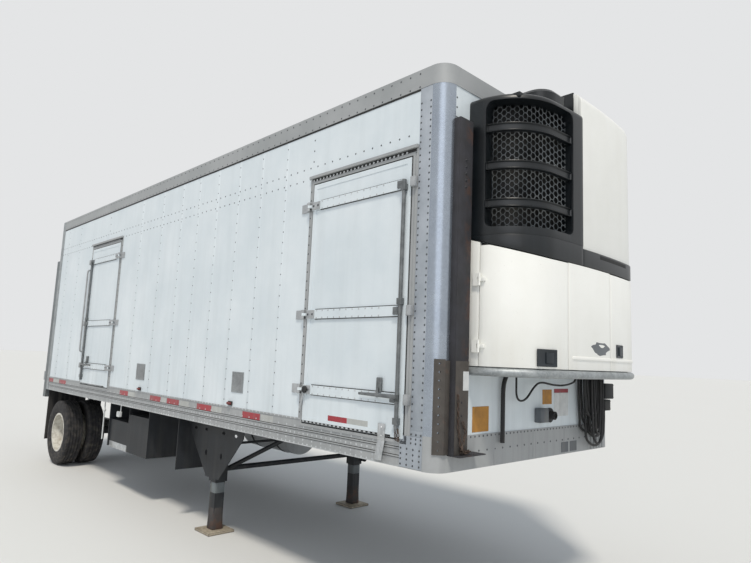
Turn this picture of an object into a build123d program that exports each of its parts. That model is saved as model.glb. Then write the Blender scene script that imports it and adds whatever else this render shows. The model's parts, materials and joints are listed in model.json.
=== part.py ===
from build123d import *
from math import atan2, cos, degrees, hypot, pi, radians, sin, sqrt
import os

os.makedirs("parts", exist_ok=True)

# Single axle refrigerated semi trailer, in millimetres.
# +X points forward to the refrigeration unit, +Y to the street side, +Z up.
# The origin is on the ground, under the middle of the whole trailer.

# Body box
box_length = 8690
box_width = 2591
roof_top = 4070
roof_crown = 10
roof_depth = 75
floor_top = 1385
floor_depth = 130
body_bottom = 1150
bottom_rail_height = 220
top_rail_height = 150
side_wall = 64
front_wall_depth = 100
rail_proud = 6  # the rails stand this far out of the side skins
corner_radius = 125
rear_post_width = 100
rear_post_depth = 120
header_height = 200

# Refrigeration unit on the front wall
unit_half_width = 1000
unit_bottom = 1870
unit_top = 3900
unit_side_depth = 130
unit_reach = 530
unit_shoulder = (400, 700)  # reach and half width where the bow turns into the corner
unit_top_radius = 260
unit_panel = 30
unit_gap = 8

# Rail gate behind the rear frame
gate_reach = 310
column_width = 110
column_depth = 130
column_wall = 8
column_bottom = 1020
column_top = 3370
column_slot = 56
gate_travel = 1280

# Side doors
door_bottom = 1310
door_top = 3425
door_frame = 22
door_gap = 12
leaf_proud = 8
hinge_pin_out = 36  # from the skin to the pin's axis
hinge_pin_radius = 6
hinge_barrel_radius = 12
hinge_heights = (1615, 2245, 3195)
strap_height = 76
strap_thickness = 10
pin_clearance = 0.3

# Running gear
axle_back = 7990  # from the front wall to the axle
tyre_radius = 505
tyre_width = 272
rim_radius = 286
twin_spacing = 330
tyre_outer_y = 1270
hub_radius = 125
drum_radius = 209
axle_tube_radius = 63.5

# Landing gear
leg_back = 3290
leg_y = 990
leg_outer = 140
leg_inner = 110
leg_outer_bottom = 520
shoe_size = 300
shoe_thickness = 25
gusset_top_width = 1150
gusset_bottom_width = 270
gusset_top = 1100
gusset_bottom = 555
gusset_thickness = 8

# Coupler
kingpin_back = 914
coupler_plate = 10
kingpin_neck_radius = 25.4
kingpin_head_radius = 35.7
kingpin_collar_radius = 36.5
kingpin_collar_length = 35.7
kingpin_neck_length = 34.9
kingpin_head_length = 13.5
coupler_length = 1300
coupler_half_width = 620

# Places that follow
front_x = (box_length + gate_reach - unit_reach) / 2
rear_x = front_x - box_length
half_width = box_width / 2
skin_y = half_width - rail_proud
inner_y = skin_y - side_wall
inner_front = front_x - front_wall_depth
wall_face = front_x - rail_proud
rail_rear = rear_x + rear_post_depth
wall_front = front_x - corner_radius
bottom_rail_top = body_bottom + bottom_rail_height
top_rail_top = roof_top - roof_crown
top_rail_bottom = top_rail_top - top_rail_height
floor_bottom = floor_top - floor_depth
axle_x = front_x - axle_back
leg_x = front_x - leg_back
kingpin_x = front_x - kingpin_back


def save(piece, name):
    piece.part.label = name
    export_step(piece.part, f"parts/{name}.step")


def span_box(x, y, z, mode=Mode.ADD):
    # A box between two corners, in the open part
    with Locations((sum(x) / 2, sum(y) / 2, sum(z) / 2)):
        Box(abs(x[1] - x[0]), abs(y[1] - y[0]), abs(z[1] - z[0]), mode=mode)


def rod(start, end, radius, mode=Mode.ADD):
    # A round bar between two points, in the open part
    a, b = Vector(*start), Vector(*end)
    with Locations(Plane(origin=a, z_dir=b - a)):
        Cylinder(radius, (b - a).length, align=(Align.CENTER, Align.CENTER, Align.MIN), mode=mode)


# Body panels
with BuildPart() as roof_panel:
    with BuildSketch(Plane.YZ.offset(rail_rear)):
        with BuildLine():
            Polyline(
                (inner_y, top_rail_top),
                (inner_y, roof_top - roof_depth),
                (-inner_y, roof_top - roof_depth),
                (-inner_y, top_rail_top),
            )
            ThreePointArc((-inner_y, top_rail_top), (0, roof_top), (inner_y, top_rail_top))
        make_face()
    extrude(amount=inner_front - rail_rear)
save(roof_panel, "roof_panel")

with BuildPart() as top_rail:
    with BuildSketch(Plane.XY.offset(top_rail_bottom)):
        with Locations(((rail_rear + front_x) / 2, 0)):
            Rectangle(front_x - rail_rear, box_width)
        fillet(vertices().group_by(Axis.X)[-1], corner_radius)
        with Locations(((rail_rear + inner_front) / 2, 0)):
            Rectangle(inner_front - rail_rear, 2 * inner_y, mode=Mode.SUBTRACT)
    extrude(amount=top_rail_height)
save(top_rail, "top_rail")

with BuildPart() as front_wall:
    span_box(
        (inner_front, wall_face),
        (corner_radius - half_width, half_width - corner_radius),
        (floor_top, top_rail_bottom),
    )
save(front_wall, "front_wall")

post_inset = 2
strip_width = 115
strip_thickness = 3

with BuildPart() as corner_posts:
    with BuildSketch(Plane.XY.offset(floor_top)):
        post_half = half_width - post_inset
        with Locations(((wall_front + front_x - post_inset) / 2, 0)):
            Rectangle(corner_radius - post_inset, 2 * post_half)
        fillet(vertices().group_by(Axis.X)[-1], corner_radius - post_inset - 1)
        with Locations(((wall_front + front_x) / 2, 0)):
            Rectangle(corner_radius, 2 * (half_width - corner_radius), mode=Mode.SUBTRACT)
        with Locations(((wall_front + inner_front) / 2, 0)):
            Rectangle(inner_front - wall_front, 2 * inner_y, mode=Mode.SUBTRACT)
    extrude(amount=top_rail_bottom - floor_top)
    for side in (-1, 1):
        span_box(
            (wall_front - strip_width, wall_front),
            (side * skin_y, side * (skin_y + strip_thickness)),
            (floor_top, top_rail_bottom),
        )
save(corner_posts, "corner_posts")

nose_top = floor_top

with BuildPart() as nose_rail:
    with BuildSketch(Plane.XY.offset(body_bottom)):
        with Locations(((wall_front + front_x) / 2, 0)):
            Rectangle(corner_radius, box_width)
        fillet(vertices().group_by(Axis.X)[-1], corner_radius - 1)
    extrude(amount=nose_top - body_bottom)
save(nose_rail, "nose_rail")

with BuildPart() as floor:
    span_box((rail_rear, wall_front), (-inner_y, inner_y), (floor_bottom, floor_top))
save(floor, "floor")

# Side walls, with an opening for each door in the curb side
side_doors = (
    # name, hinge edge back of the front wall, free edge back of the front wall
    ("front_door", 1500, 270),
    ("rear_door", 5870, 7030),
)

with BuildPart() as curb_wall:
    span_box((rail_rear, wall_front), (-skin_y, -inner_y), (bottom_rail_top, top_rail_bottom))
    for name, hinge_back, free_back in side_doors:
        span_box(
            (front_x - hinge_back, front_x - free_back),
            (-skin_y - 1, 1 - inner_y),
            (bottom_rail_top - 1, door_top),
            mode=Mode.SUBTRACT,
        )
save(curb_wall, "curb_wall")

with BuildPart() as street_wall:
    span_box((rail_rear, wall_front), (inner_y, skin_y), (bottom_rail_top, top_rail_bottom))
save(street_wall, "street_wall")

# Bottom rails: a C section that the floor and the cross members sit in
rail_web = 8
rail_flange = 12
rail_foot = 8
rail_foot_depth = 60
rib_height = 10
rib_out = 5
rib_levels = (1215, 1272)


def rail_face(side):
    web_out = half_width - rib_out
    points = [
        (web_out, body_bottom),
        (web_out - rail_foot_depth, body_bottom),
        (web_out - rail_foot_depth, body_bottom + rail_foot),
        (web_out - rail_web, body_bottom + rail_foot),
        (web_out - rail_web, bottom_rail_top - rail_flange),
        (inner_y, bottom_rail_top - rail_flange),
        (inner_y, bottom_rail_top),
        (half_width, bottom_rail_top),
        (half_width, bottom_rail_top - rail_flange),
        (web_out, bottom_rail_top - rail_flange),
    ]
    for level in reversed(rib_levels):
        points += [(web_out, level + rib_height), (half_width, level + rib_height)]
        points += [(half_width, level), (web_out, level)]
    return [(side * y, z) for y, z in points]


for side, name in ((-1, "curb_bottom_rail"), (1, "street_bottom_rail")):
    with BuildPart() as bottom_rail:
        with BuildSketch(Plane.YZ.offset(rail_rear)):
            with BuildLine():
                Polyline(*rail_face(side), close=True)
            make_face()
        extrude(amount=wall_front - rail_rear)
        if side < 0:
            for door, hinge_back, free_back in side_doors:
                span_box(
                    (front_x - hinge_back, front_x - free_back),
                    (-half_width - 1, 1 - inner_y),
                    (door_bottom, bottom_rail_top + 1),
                    mode=Mode.SUBTRACT,
                )
    save(bottom_rail, name)

# Rear frame and the roll up door in it
with BuildPart() as rear_frame:
    span_box((rear_x, rail_rear), (-half_width, half_width), (body_bottom, top_rail_top))
    span_box(
        (rear_x - 1, rail_rear + 1),
        (rear_post_width - half_width, half_width - rear_post_width),
        (floor_top, top_rail_top - header_height),
        mode=Mode.SUBTRACT,
    )
save(rear_frame, "rear_frame")

rollup_thickness = 45
rollup_set_in = 50
rollup_slats = 6
rollup_groove = 6

with BuildPart() as rollup_door:
    rollup_x = (rear_x + rollup_set_in, rear_x + rollup_set_in + rollup_thickness)
    opening_half = half_width - rear_post_width
    opening_top = top_rail_top - header_height
    span_box(rollup_x, (-opening_half, opening_half), (floor_top, opening_top))
    for slat in range(1, rollup_slats):
        seam = floor_top + (opening_top - floor_top) * slat / rollup_slats
        span_box(
            (rollup_x[0] - 1, rollup_x[0] + rollup_groove),
            (-opening_half, opening_half),
            (seam - rollup_groove / 2, seam + rollup_groove / 2),
            mode=Mode.SUBTRACT,
        )
save(rollup_door, "rollup_door")

# Door frames, fixed in the wall
frame_flange = 28
flange_thickness = 4
drip_height = 24
drip_out = 26

with BuildPart() as door_frames:
    for door, hinge_back, free_back in side_doors:
        low_x, high_x = sorted((front_x - hinge_back, front_x - free_back))
        span_box((low_x, high_x), (-skin_y - leaf_proud, -inner_y), (door_bottom, door_top))
        span_box(
            (low_x - frame_flange, high_x + frame_flange),
            (-skin_y - flange_thickness, -skin_y),
            (bottom_rail_top, door_top + frame_flange),
        )
        span_box(
            (low_x - frame_flange, high_x + frame_flange),
            (-skin_y - drip_out, -skin_y),
            (door_top + frame_flange, door_top + frame_flange + drip_height),
        )
        span_box(
            (low_x + door_frame, high_x - door_frame),
            (-skin_y - drip_out, 1 - inner_y),
            (door_bottom + door_frame, door_top - door_frame),
            mode=Mode.SUBTRACT,
        )
save(door_frames, "door_frames")

# Side door leaves with their straps, hinge barrels and lock rods
leaf_set_in = 10
moulding_width = 42
moulding_proud = 4
strap_end_gap = 80
butt_width = 130
butt_thickness = 8
knuckle_gap = 1
lock_rod_radius = 11
lock_rod_from_edge = 50
lock_rod_bottom = 1400
lock_rod_top = 3225
rod_bracket = 46

pin_y = -(skin_y + hinge_pin_out)
leaf_face_y = -(skin_y + leaf_proud)
moulding_y = leaf_face_y - moulding_proud
strap_y = moulding_y - strap_thickness
rod_y = moulding_y - lock_rod_radius - 8
knuckle = strap_height / 3

for door, hinge_back, free_back in side_doors:
    pin_x = front_x - hinge_back
    away = 1 if free_back < hinge_back else -1
    hinge_edge = pin_x + away * (door_frame + door_gap)
    free_edge = front_x - free_back - away * (door_frame + door_gap)
    leaf_low = door_bottom + door_frame + door_gap
    leaf_high = door_top - door_frame - door_gap
    leaf_x = sorted((hinge_edge, free_edge))

    with BuildPart() as leaf:
        span_box(leaf_x, (leaf_face_y, -inner_y - leaf_set_in), (leaf_low, leaf_high))
        span_box(leaf_x, (moulding_y, leaf_face_y), (leaf_low, leaf_high))
        span_box(
            (leaf_x[0] + moulding_width, leaf_x[1] - moulding_width),
            (moulding_y - 1, leaf_face_y),
            (leaf_low + moulding_width, leaf_high - moulding_width),
            mode=Mode.SUBTRACT,
        )
    save(leaf, f"{door}_leaf")

    with BuildPart() as straps:
        for height in hinge_heights:
            span_box(
                (hinge_edge, free_edge - away * strap_end_gap),
                (strap_y, moulding_y),
                (height - strap_height / 2, height + strap_height / 2),
            )
            span_box(
                (pin_x, hinge_edge),
                (pin_y, moulding_y),
                (height - knuckle / 2 + knuckle_gap, height + knuckle / 2 - knuckle_gap),
            )
            rod(
                (pin_x, pin_y, height - knuckle / 2 + knuckle_gap),
                (pin_x, pin_y, height + knuckle / 2 - knuckle_gap),
                hinge_barrel_radius,
            )
            rod(
                (pin_x, pin_y, height - strap_height),
                (pin_x, pin_y, height + strap_height),
                hinge_pin_radius + pin_clearance,
                mode=Mode.SUBTRACT,
            )
        rod_x = free_edge - away * lock_rod_from_edge
    save(straps, f"{door}_straps")

    with BuildPart() as lock_rod:
        rod((rod_x, rod_y, lock_rod_bottom), (rod_x, rod_y, lock_rod_top), lock_rod_radius)
        for height in (lock_rod_bottom + 60, (lock_rod_bottom + lock_rod_top) / 2, lock_rod_top - 60):
            span_box(
                (rod_x - rod_bracket / 2, rod_x + rod_bracket / 2),
                (rod_y - lock_rod_radius - 5, moulding_y),
                (height - rod_bracket / 2, height + rod_bracket / 2),
            )
    save(lock_rod, f"{door}_lock_rod")

with BuildPart() as hinge_butts:
    for door, hinge_back, free_back in side_doors:
        pin_x = front_x - hinge_back
        away = 1 if free_back < hinge_back else -1
        for height in hinge_heights:
            span_box(
                (pin_x - away * butt_width, pin_x - away * frame_flange),
                (-skin_y - butt_thickness, -skin_y),
                (height - strap_height / 2, height + strap_height / 2),
            )
            span_box(
                (pin_x - away * butt_width, pin_x - away * (hinge_barrel_radius + 5)),
                (-skin_y - butt_thickness - flange_thickness, -skin_y - flange_thickness),
                (height - strap_height / 2, height + strap_height / 2),
            )
            rod(
                (pin_x, pin_y, height - strap_height / 2),
                (pin_x, pin_y, height + strap_height / 2),
                hinge_pin_radius,
            )
            for low in (height - strap_height / 2, height + knuckle / 2):
                rod((pin_x, pin_y, low), (pin_x, pin_y, low + knuckle), hinge_barrel_radius)
                span_box(
                    (pin_x - away * (hinge_barrel_radius + 20), pin_x),
                    (pin_y, pin_y + 12),
                    (low, low + knuckle),
                )
                span_box(
                    (pin_x - away * (hinge_barrel_radius + 20), pin_x - away * (hinge_barrel_radius + 5)),
                    (pin_y, -skin_y - flange_thickness),
                    (low, low + knuckle),
                )
save(hinge_butts, "hinge_butts")

# Underframe: cross members between the bottom rails
member_spacing = 406
member_flange = 60
member_web = 6
member_flange_thickness = 8

member_low = body_bottom + rail_foot
member_reach = half_width - rib_out - rail_web
coupler_rear = wall_front - coupler_length

with BuildPart() as cross_members:
    with BuildSketch(Plane.XZ.offset(-member_reach)):
        member_x = coupler_rear - member_flange
        while member_x > rail_rear + member_flange:
            with Locations((member_x, member_low + member_flange_thickness / 2)):
                Rectangle(member_flange, member_flange_thickness)
            with Locations((member_x, floor_bottom - member_flange_thickness / 2)):
                Rectangle(member_flange, member_flange_thickness)
            with Locations((member_x, (member_low + floor_bottom) / 2)):
                Rectangle(member_web, floor_bottom - member_low)
            member_x -= member_spacing
    extrude(amount=2 * member_reach)
save(cross_members, "cross_members")

# Coupler: the plate that rests on a fifth wheel, the frame over it and the kingpin
coupler_bar = 70
coupler_bars_y = (-580, -350, -120, 120, 350, 580)

with BuildPart() as coupler:
    span_box(
        (coupler_rear, wall_front),
        (-coupler_half_width, coupler_half_width),
        (body_bottom, body_bottom + coupler_plate),
    )
    for bar_y in coupler_bars_y:
        span_box(
            (coupler_rear, wall_front),
            (bar_y - coupler_bar / 2, bar_y + coupler_bar / 2),
            (body_bottom + coupler_plate, floor_bottom),
        )
    for bar_x in (coupler_rear + coupler_bar / 2, kingpin_x, wall_front - coupler_bar / 2):
        span_box(
            (bar_x - coupler_bar / 2, bar_x + coupler_bar / 2),
            (-member_reach, member_reach),
            (member_low, floor_bottom),
        )
save(coupler, "coupler")

with BuildPart() as kingpin:
    with BuildSketch(Plane.XZ):
        with BuildLine():
            neck_top = body_bottom - kingpin_collar_length
            head_top = neck_top - kingpin_neck_length
            head_bottom = head_top - kingpin_head_length
            Polyline(
                (kingpin_x, body_bottom),
                (kingpin_x + kingpin_collar_radius, body_bottom),
                (kingpin_x + kingpin_collar_radius, neck_top),
                (kingpin_x + kingpin_neck_radius, neck_top),
                (kingpin_x + kingpin_neck_radius, head_top),
                (kingpin_x + kingpin_head_radius, head_top),
                (kingpin_x + kingpin_head_radius, head_bottom),
                (kingpin_x, head_bottom),
                close=True,
            )
        make_face()
    revolve(axis=Axis((kingpin_x, 0, 0), (0, 0, 1)))
save(kingpin, "kingpin")

# Landing gear
gusset_y = leg_y + leg_outer / 2

with BuildPart() as landing_legs:
    for side in (-1, 1):
        with BuildSketch(Plane.XY.offset(leg_outer_bottom)):
            with Locations((leg_x, side * leg_y)):
                Rectangle(leg_outer, leg_outer)
        extrude(amount=member_low - leg_outer_bottom)
        with BuildSketch(Plane.XY.offset(shoe_thickness)):
            with Locations((leg_x, side * leg_y)):
                Rectangle(leg_inner, leg_inner)
        extrude(amount=leg_outer_bottom - shoe_thickness)
        span_box(
            (leg_x - shoe_size / 2, leg_x + shoe_size / 2),
            (side * leg_y - shoe_size / 2, side * leg_y + shoe_size / 2),
            (0, shoe_thickness),
        )
save(landing_legs, "landing_legs")

gusset_holes = (
    # offset from the leg, height, width of the oval, height of the oval
    (-425, 1040, 60, 34),
    (-185, 1045, 60, 34),
    (185, 1045, 60, 34),
    (425, 1040, 60, 34),
    (-160, 800, 42, 64),
    (160, 800, 42, 64),
)

with BuildPart() as landing_gussets:
    for side in (-1, 1):
        start = gusset_y if side < 0 else -gusset_y - gusset_thickness
        with BuildSketch(Plane.XZ.offset(start)):
            with BuildLine():
                Polyline(
                    (leg_x - gusset_top_width / 2, member_low),
                    (leg_x - gusset_top_width / 2, gusset_top - 70),
                    (leg_x - gusset_bottom_width / 2, gusset_bottom),
                    (leg_x + gusset_bottom_width / 2, gusset_bottom),
                    (leg_x + gusset_top_width / 2, gusset_top - 70),
                    (leg_x + gusset_top_width / 2, member_low),
                    close=True,
                )
            make_face()
            for hole_x, hole_z, hole_width, hole_height in gusset_holes:
                with Locations((leg_x + hole_x, hole_z)):
                    Ellipse(hole_width / 2, hole_height / 2, mode=Mode.SUBTRACT)
        extrude(amount=gusset_thickness)
save(landing_gussets, "landing_gussets")

brace_radius = 28
with BuildPart() as landing_braces:
    brace_inner = leg_y - leg_outer / 2
    rod((leg_x, -brace_inner, 640), (leg_x, brace_inner, 640), brace_radius)
save(landing_braces, "landing_braces")

# Axle, springs and the frame that carries them
subframe_rail_y = 480
subframe_width = 90
subframe_height = 140
subframe_reach = (-580, 900)
spring_width = 76
spring_top = 690
spring_leaf = 16

subframe_bottom = member_low - subframe_height

with BuildPart() as suspension_frame:
    for side in (-1, 1):
        rail_y = side * subframe_rail_y
        span_box(
            (axle_x + subframe_reach[0], axle_x + subframe_reach[1]),
            (rail_y - subframe_width / 2, rail_y + subframe_width / 2),
            (subframe_bottom, member_low),
        )
        for hanger_x in (axle_x - 530, axle_x + 530):
            span_box(
                (hanger_x - 50, hanger_x + 50),
                (rail_y - subframe_width / 2, rail_y + subframe_width / 2),
                (spring_top, subframe_bottom),
            )
    for bar_x in (axle_x - 540, axle_x + 760):
        span_box(
            (bar_x - 40, bar_x + 40),
            (subframe_width / 2 - subframe_rail_y, subframe_rail_y - subframe_width / 2),
            (subframe_bottom, member_low - 40),
        )
save(suspension_frame, "suspension_frame")

with BuildPart() as leaf_springs:
    for side in (-1, 1):
        rail_y = side * subframe_rail_y
        for leaf_number, reach in enumerate((500, 360, 220)):
            top = spring_top - leaf_number * spring_leaf
            span_box(
                (axle_x - reach, axle_x + reach),
                (rail_y - spring_width / 2, rail_y + spring_width / 2),
                (top - spring_leaf, top),
            )
        span_box(
            (axle_x - 90, axle_x + 90),
            (rail_y - spring_width / 2, rail_y + spring_width / 2),
            (tyre_radius + axle_tube_radius + 0.3, spring_top - 3 * spring_leaf),
        )
save(leaf_springs, "leaf_springs")

twin_y = tyre_outer_y - tyre_width / 2 - twin_spacing / 2
drum_width = 190
drum_wall = 20
hub_bearing = 60
drum_inner_y = twin_y - hub_bearing - drum_width
spindle_end_gap = 1
spindle_radius = 40
bearing_clearance = 0.4

with BuildPart() as axle_beam:
    rod((axle_x, 10 - drum_inner_y, tyre_radius), (axle_x, drum_inner_y - 10, tyre_radius), axle_tube_radius)
    spindle_end = twin_y + hub_bearing - spindle_end_gap
    rod((axle_x, -spindle_end, tyre_radius), (axle_x, spindle_end, tyre_radius), spindle_radius)
save(axle_beam, "axle_beam")

# Wheels: tyre and disc wheel sections turned about the axle
bead_radius = rim_radius + 4
bead_height = 16
rim_half = tyre_width / 2 - 32
rim_thickness = 12
rim_flange = 12
rim_lip = 6
disc_thickness = 12
disc_flat = 207
disc_reach = 70
hub_bore = 110
hub_flange = 175
hub_flange_thickness = 16
hub_cap_radius = 62
hub_reach = 150

for side, name in ((-1, "curb"), (1, "street")):
    axle_line = Axis((axle_x, 0, tyre_radius), (0, 1, 0))
    outer_centre = twin_y + twin_spacing / 2
    inner_centre = twin_y - twin_spacing / 2

    with BuildPart() as tyres:
        for centre in (outer_centre, inner_centre):
            if True:
                with BuildSketch(Plane.YZ.offset(axle_x)):
                    with BuildLine():
                        tread_half = tyre_width / 2 - 26
                        bead_half = rim_half
                        bulge_radius = (tyre_radius + bead_radius) / 2
                        y0 = side * centre
                        z0 = tyre_radius
                        Polyline(
                            (y0 - bead_half, z0 + bead_radius + bead_height),
                            (y0 - bead_half, z0 + bead_radius),
                            (y0 + bead_half, z0 + bead_radius),
                            (y0 + bead_half, z0 + bead_radius + bead_height),
                        )
                        ThreePointArc(
                            (y0 + bead_half, z0 + bead_radius + bead_height),
                            (y0 + tyre_width / 2, z0 + bulge_radius),
                            (y0 + tread_half, z0 + tyre_radius - 8),
                        )
                        ThreePointArc(
                            (y0 + tread_half, z0 + tyre_radius - 8),
                            (y0, z0 + tyre_radius),
                            (y0 - tread_half, z0 + tyre_radius - 8),
                        )
                        ThreePointArc(
                            (y0 - tread_half, z0 + tyre_radius - 8),
                            (y0 - tyre_width / 2, z0 + bulge_radius),
                            (y0 - bead_half, z0 + bead_radius + bead_height),
                        )
                    make_face()
                revolve(axis=axle_line)
    save(tyres, f"{name}_tyres")

    def wheel_section(points, side=side):
        # Turn a section, given as (distance out of the twin plane, radius), about the axle
        with BuildSketch(Plane.YZ.offset(axle_x)) as section:
            with BuildLine():
                Polyline(*[(side * (twin_y + out), tyre_radius + r) for out, r in points], close=True)
            make_face()
        return revolve(section.sketch, axis=axle_line)

    rim_solids = []
    for dish in (1, -1):
        near = twin_spacing / 2 - rim_half
        far = twin_spacing / 2 + rim_half
        rim = [
            (near, bead_radius),
            (near, bead_radius + rim_flange),
            (near - rim_lip, bead_radius + rim_flange),
            (near - rim_lip, bead_radius - rim_thickness),
            (far + rim_lip, bead_radius - rim_thickness),
            (far + rim_lip, bead_radius + rim_flange),
            (far, bead_radius + rim_flange),
            (far, bead_radius),
        ]
        disc = [
            (0, hub_bore),
            (0, disc_flat),
            (disc_reach, bead_radius - rim_thickness / 2),
            (disc_reach + 1.4 * disc_thickness, bead_radius - rim_thickness / 2),
            (disc_thickness, disc_flat - disc_thickness / 2),
            (disc_thickness, hub_bore),
        ]
        for points in (rim, disc):
            rim_solids.append(wheel_section([(dish * out, r) for out, r in points]))

    with BuildPart() as wheels:
        for solid in rim_solids:
            add(solid)
    save(wheels, f"{name}_wheels")

    hub_solid = wheel_section(
        [
            (hub_reach, 0),
            (hub_reach, hub_cap_radius),
            (hub_bearing + 20, hub_cap_radius + 12),
            (disc_thickness, hub_bore),
            (-disc_thickness, hub_bore),
            (-disc_thickness, hub_flange),
            (-disc_thickness - hub_flange_thickness, hub_flange),
            (-hub_bearing, drum_radius),
            (-hub_bearing - drum_width, drum_radius),
            (-hub_bearing - drum_width, drum_radius - drum_wall),
            (-hub_bearing, drum_radius - drum_wall),
            (-hub_bearing, spindle_radius + bearing_clearance),
            (hub_bearing, spindle_radius + bearing_clearance),
            (hub_bearing, 0),
        ]
    )
    with BuildPart() as hub:
        add(hub_solid)
    save(hub, f"{name}_hub")

# Rail gate: columns, carriage and platform
column_y = half_width - column_width / 2
runner_clearance = 6
runner_width = column_width - 2 * column_wall - 2 * runner_clearance
runner_depth = column_depth - 2 * column_wall - 2 * runner_clearance
platform_thickness = 90
platform_length = 1650
platform_half_width = 1130
pivot_radius = 20
lug_radius = 30
runner_foot = 35
runner_left_in = 240
arm_width = column_slot - 12

column_front = rear_x
column_back = rear_x - column_depth
platform_x = (rear_x - gate_reach, rear_x - gate_reach + platform_thickness)
pivot_x = platform_x[0] + lug_radius
pivot_height = floor_top - (platform_x[1] - pivot_x)
runner_bottom = pivot_height - runner_foot
runner_top = column_bottom + runner_left_in + gate_travel

with BuildPart() as gate_columns:
    for side in (-1, 1):
        with BuildSketch(Plane.XY.offset(column_bottom)):
            with Locations(((column_front + column_back) / 2, side * column_y)):
                Rectangle(column_depth, column_width)
                Rectangle(column_depth - 2 * column_wall, column_width - 2 * column_wall, mode=Mode.SUBTRACT)
            with Locations((column_back + column_wall / 2, side * column_y)):
                Rectangle(2 * column_wall, column_slot, mode=Mode.SUBTRACT)
        extrude(amount=column_top - column_wall - column_bottom)
        span_box(
            (column_back, column_front),
            (side * (column_y - column_width / 2), side * (column_y + column_width / 2)),
            (column_top - column_wall, column_top),
        )
save(gate_columns, "gate_columns")

with BuildPart() as gate_carriage:
    for side in (-1, 1):
        runner_x = (
            column_back + column_wall + runner_clearance,
            column_front - column_wall - runner_clearance,
        )
        span_box(
            runner_x,
            (side * (column_y - runner_width / 2), side * (column_y + runner_width / 2)),
            (runner_bottom, runner_top),
        )
        span_box(
            (pivot_x - lug_radius, runner_x[0]),
            (side * (column_y - arm_width / 2), side * (column_y + arm_width / 2)),
            (runner_bottom, runner_bottom + 150),
        )
        pad_half_x = column_depth / 2 - column_wall - pin_clearance
        pad_half_y = column_width / 2 - column_wall - pin_clearance
        for pad_top in (runner_top - 20, runner_top - 120):
            span_box(
                ((column_front + column_back) / 2 - pad_half_x, (column_front + column_back) / 2 + pad_half_x),
                (side * column_y - 20, side * column_y + 20),
                (pad_top - 60, pad_top),
            )
            span_box(
                ((column_front + column_back) / 2 - 20, (column_front + column_back) / 2 + 20),
                (side * column_y - pad_half_y, side * column_y + pad_half_y),
                (pad_top - 60, pad_top),
            )
    rod((pivot_x, -column_y, pivot_height), (pivot_x, column_y, pivot_height), pivot_radius)
save(gate_carriage, "gate_carriage")

platform_foot = 40
platform_skin = 8
platform_rib = 8
platform_edge = 45
platform_bays = (6, 5)
lug_width = 80
platform_lugs_y = (-900, -300, 300, 900)

with BuildPart() as gate_platform:
    low, high = pivot_height + platform_foot, pivot_height + platform_length
    span_box(platform_x, (-platform_half_width, platform_half_width), (low, high))
    bay_width = (2 * platform_half_width - 2 * platform_edge) / platform_bays[0]
    bay_height = (high - low - 2 * platform_edge) / platform_bays[1]
    with Locations(
        ((platform_x[0] + platform_x[1] - platform_skin) / 2, 0, (low + high) / 2)
    ):
        with GridLocations(1, bay_width, 1, platform_bays[0]):
            for bay in range(platform_bays[1]):
                with Locations((0, 0, (bay - (platform_bays[1] - 1) / 2) * bay_height)):
                    Box(
                        platform_thickness - platform_skin,
                        bay_width - platform_rib,
                        bay_height - platform_rib,
                        mode=Mode.SUBTRACT,
                    )
    for lug_y in platform_lugs_y:
        span_box(
            (pivot_x, platform_x[1]),
            (lug_y - lug_width / 2, lug_y + lug_width / 2),
            (pivot_height, low),
        )
        rod(
            (pivot_x, lug_y - lug_width / 2, pivot_height),
            (pivot_x, lug_y + lug_width / 2, pivot_height),
            lug_radius,
        )
        span_box(
            (pivot_x - lug_radius, pivot_x),
            (lug_y - lug_width / 2, lug_y + lug_width / 2),
            (pivot_height, low),
        )
    rod(
        (pivot_x, -platform_half_width, pivot_height),
        (pivot_x, platform_half_width, pivot_height),
        pivot_radius + pin_clearance,
        mode=Mode.SUBTRACT,
    )
save(gate_platform, "gate_platform")

guard_bottom = 460
guard_height = 100
guard_half_width = 1100
with BuildPart() as rear_guard:
    span_box((rear_x + 10, rear_x + 90), (-guard_half_width, guard_half_width), (guard_bottom, guard_bottom + guard_height))
    for side in (-1, 1):
        span_box(
            (rear_x + 15, rear_x + 85),
            (side * 560 - 40, side * 560 + 40),
            (guard_bottom + guard_height, body_bottom),
        )
save(rear_guard, "rear_guard")

flap_x = axle_x - tyre_radius - 90
with BuildPart() as mud_flaps:
    for side in (-1, 1):
        span_box(
            (flap_x, flap_x + 10),
            (side * (twin_y - 300), side * (twin_y + 300)),
            (330, body_bottom),
        )
save(mud_flaps, "mud_flaps")

# Equipment under the floor
with BuildPart() as battery_box:
    span_box((front_x - 5284, front_x - 4686), (-1200, -760), (560, 1040))
save(battery_box, "battery_box")

with BuildPart() as pump_box:
    span_box((front_x - 5954, front_x - 5296), (-1180, -760), (600, 920))
save(pump_box, "pump_box")

hanger_plates_back = (5960, 5290, 4680, 3880)
hanger_plate = 12
hanger_rail = 50
hanger_rail_depth = 30
hanger_y = (-1200, -700)
tank_radius = 290
tank_y = 880
tank_z = 790
tank_back = (5400, 4300)
tank_brackets_back = (5150, 4550)
tank_bracket = 40
tank_strap = 6

with BuildPart() as equipment_frame:
    for back in hanger_plates_back:
        bar_x = front_x - back
        span_box(
            (bar_x - hanger_plate / 2, bar_x + hanger_plate / 2),
            hanger_y,
            (560, member_low - hanger_rail_depth),
        )
    for rail_y in (hanger_y[0] + hanger_rail, hanger_y[1]):
        span_box(
            (front_x - hanger_plates_back[0] - hanger_plate, front_x - hanger_plates_back[-1] + hanger_plate),
            (rail_y - hanger_rail, rail_y),
            (member_low - hanger_rail_depth, member_low),
        )
save(equipment_frame, "equipment_frame")

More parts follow.
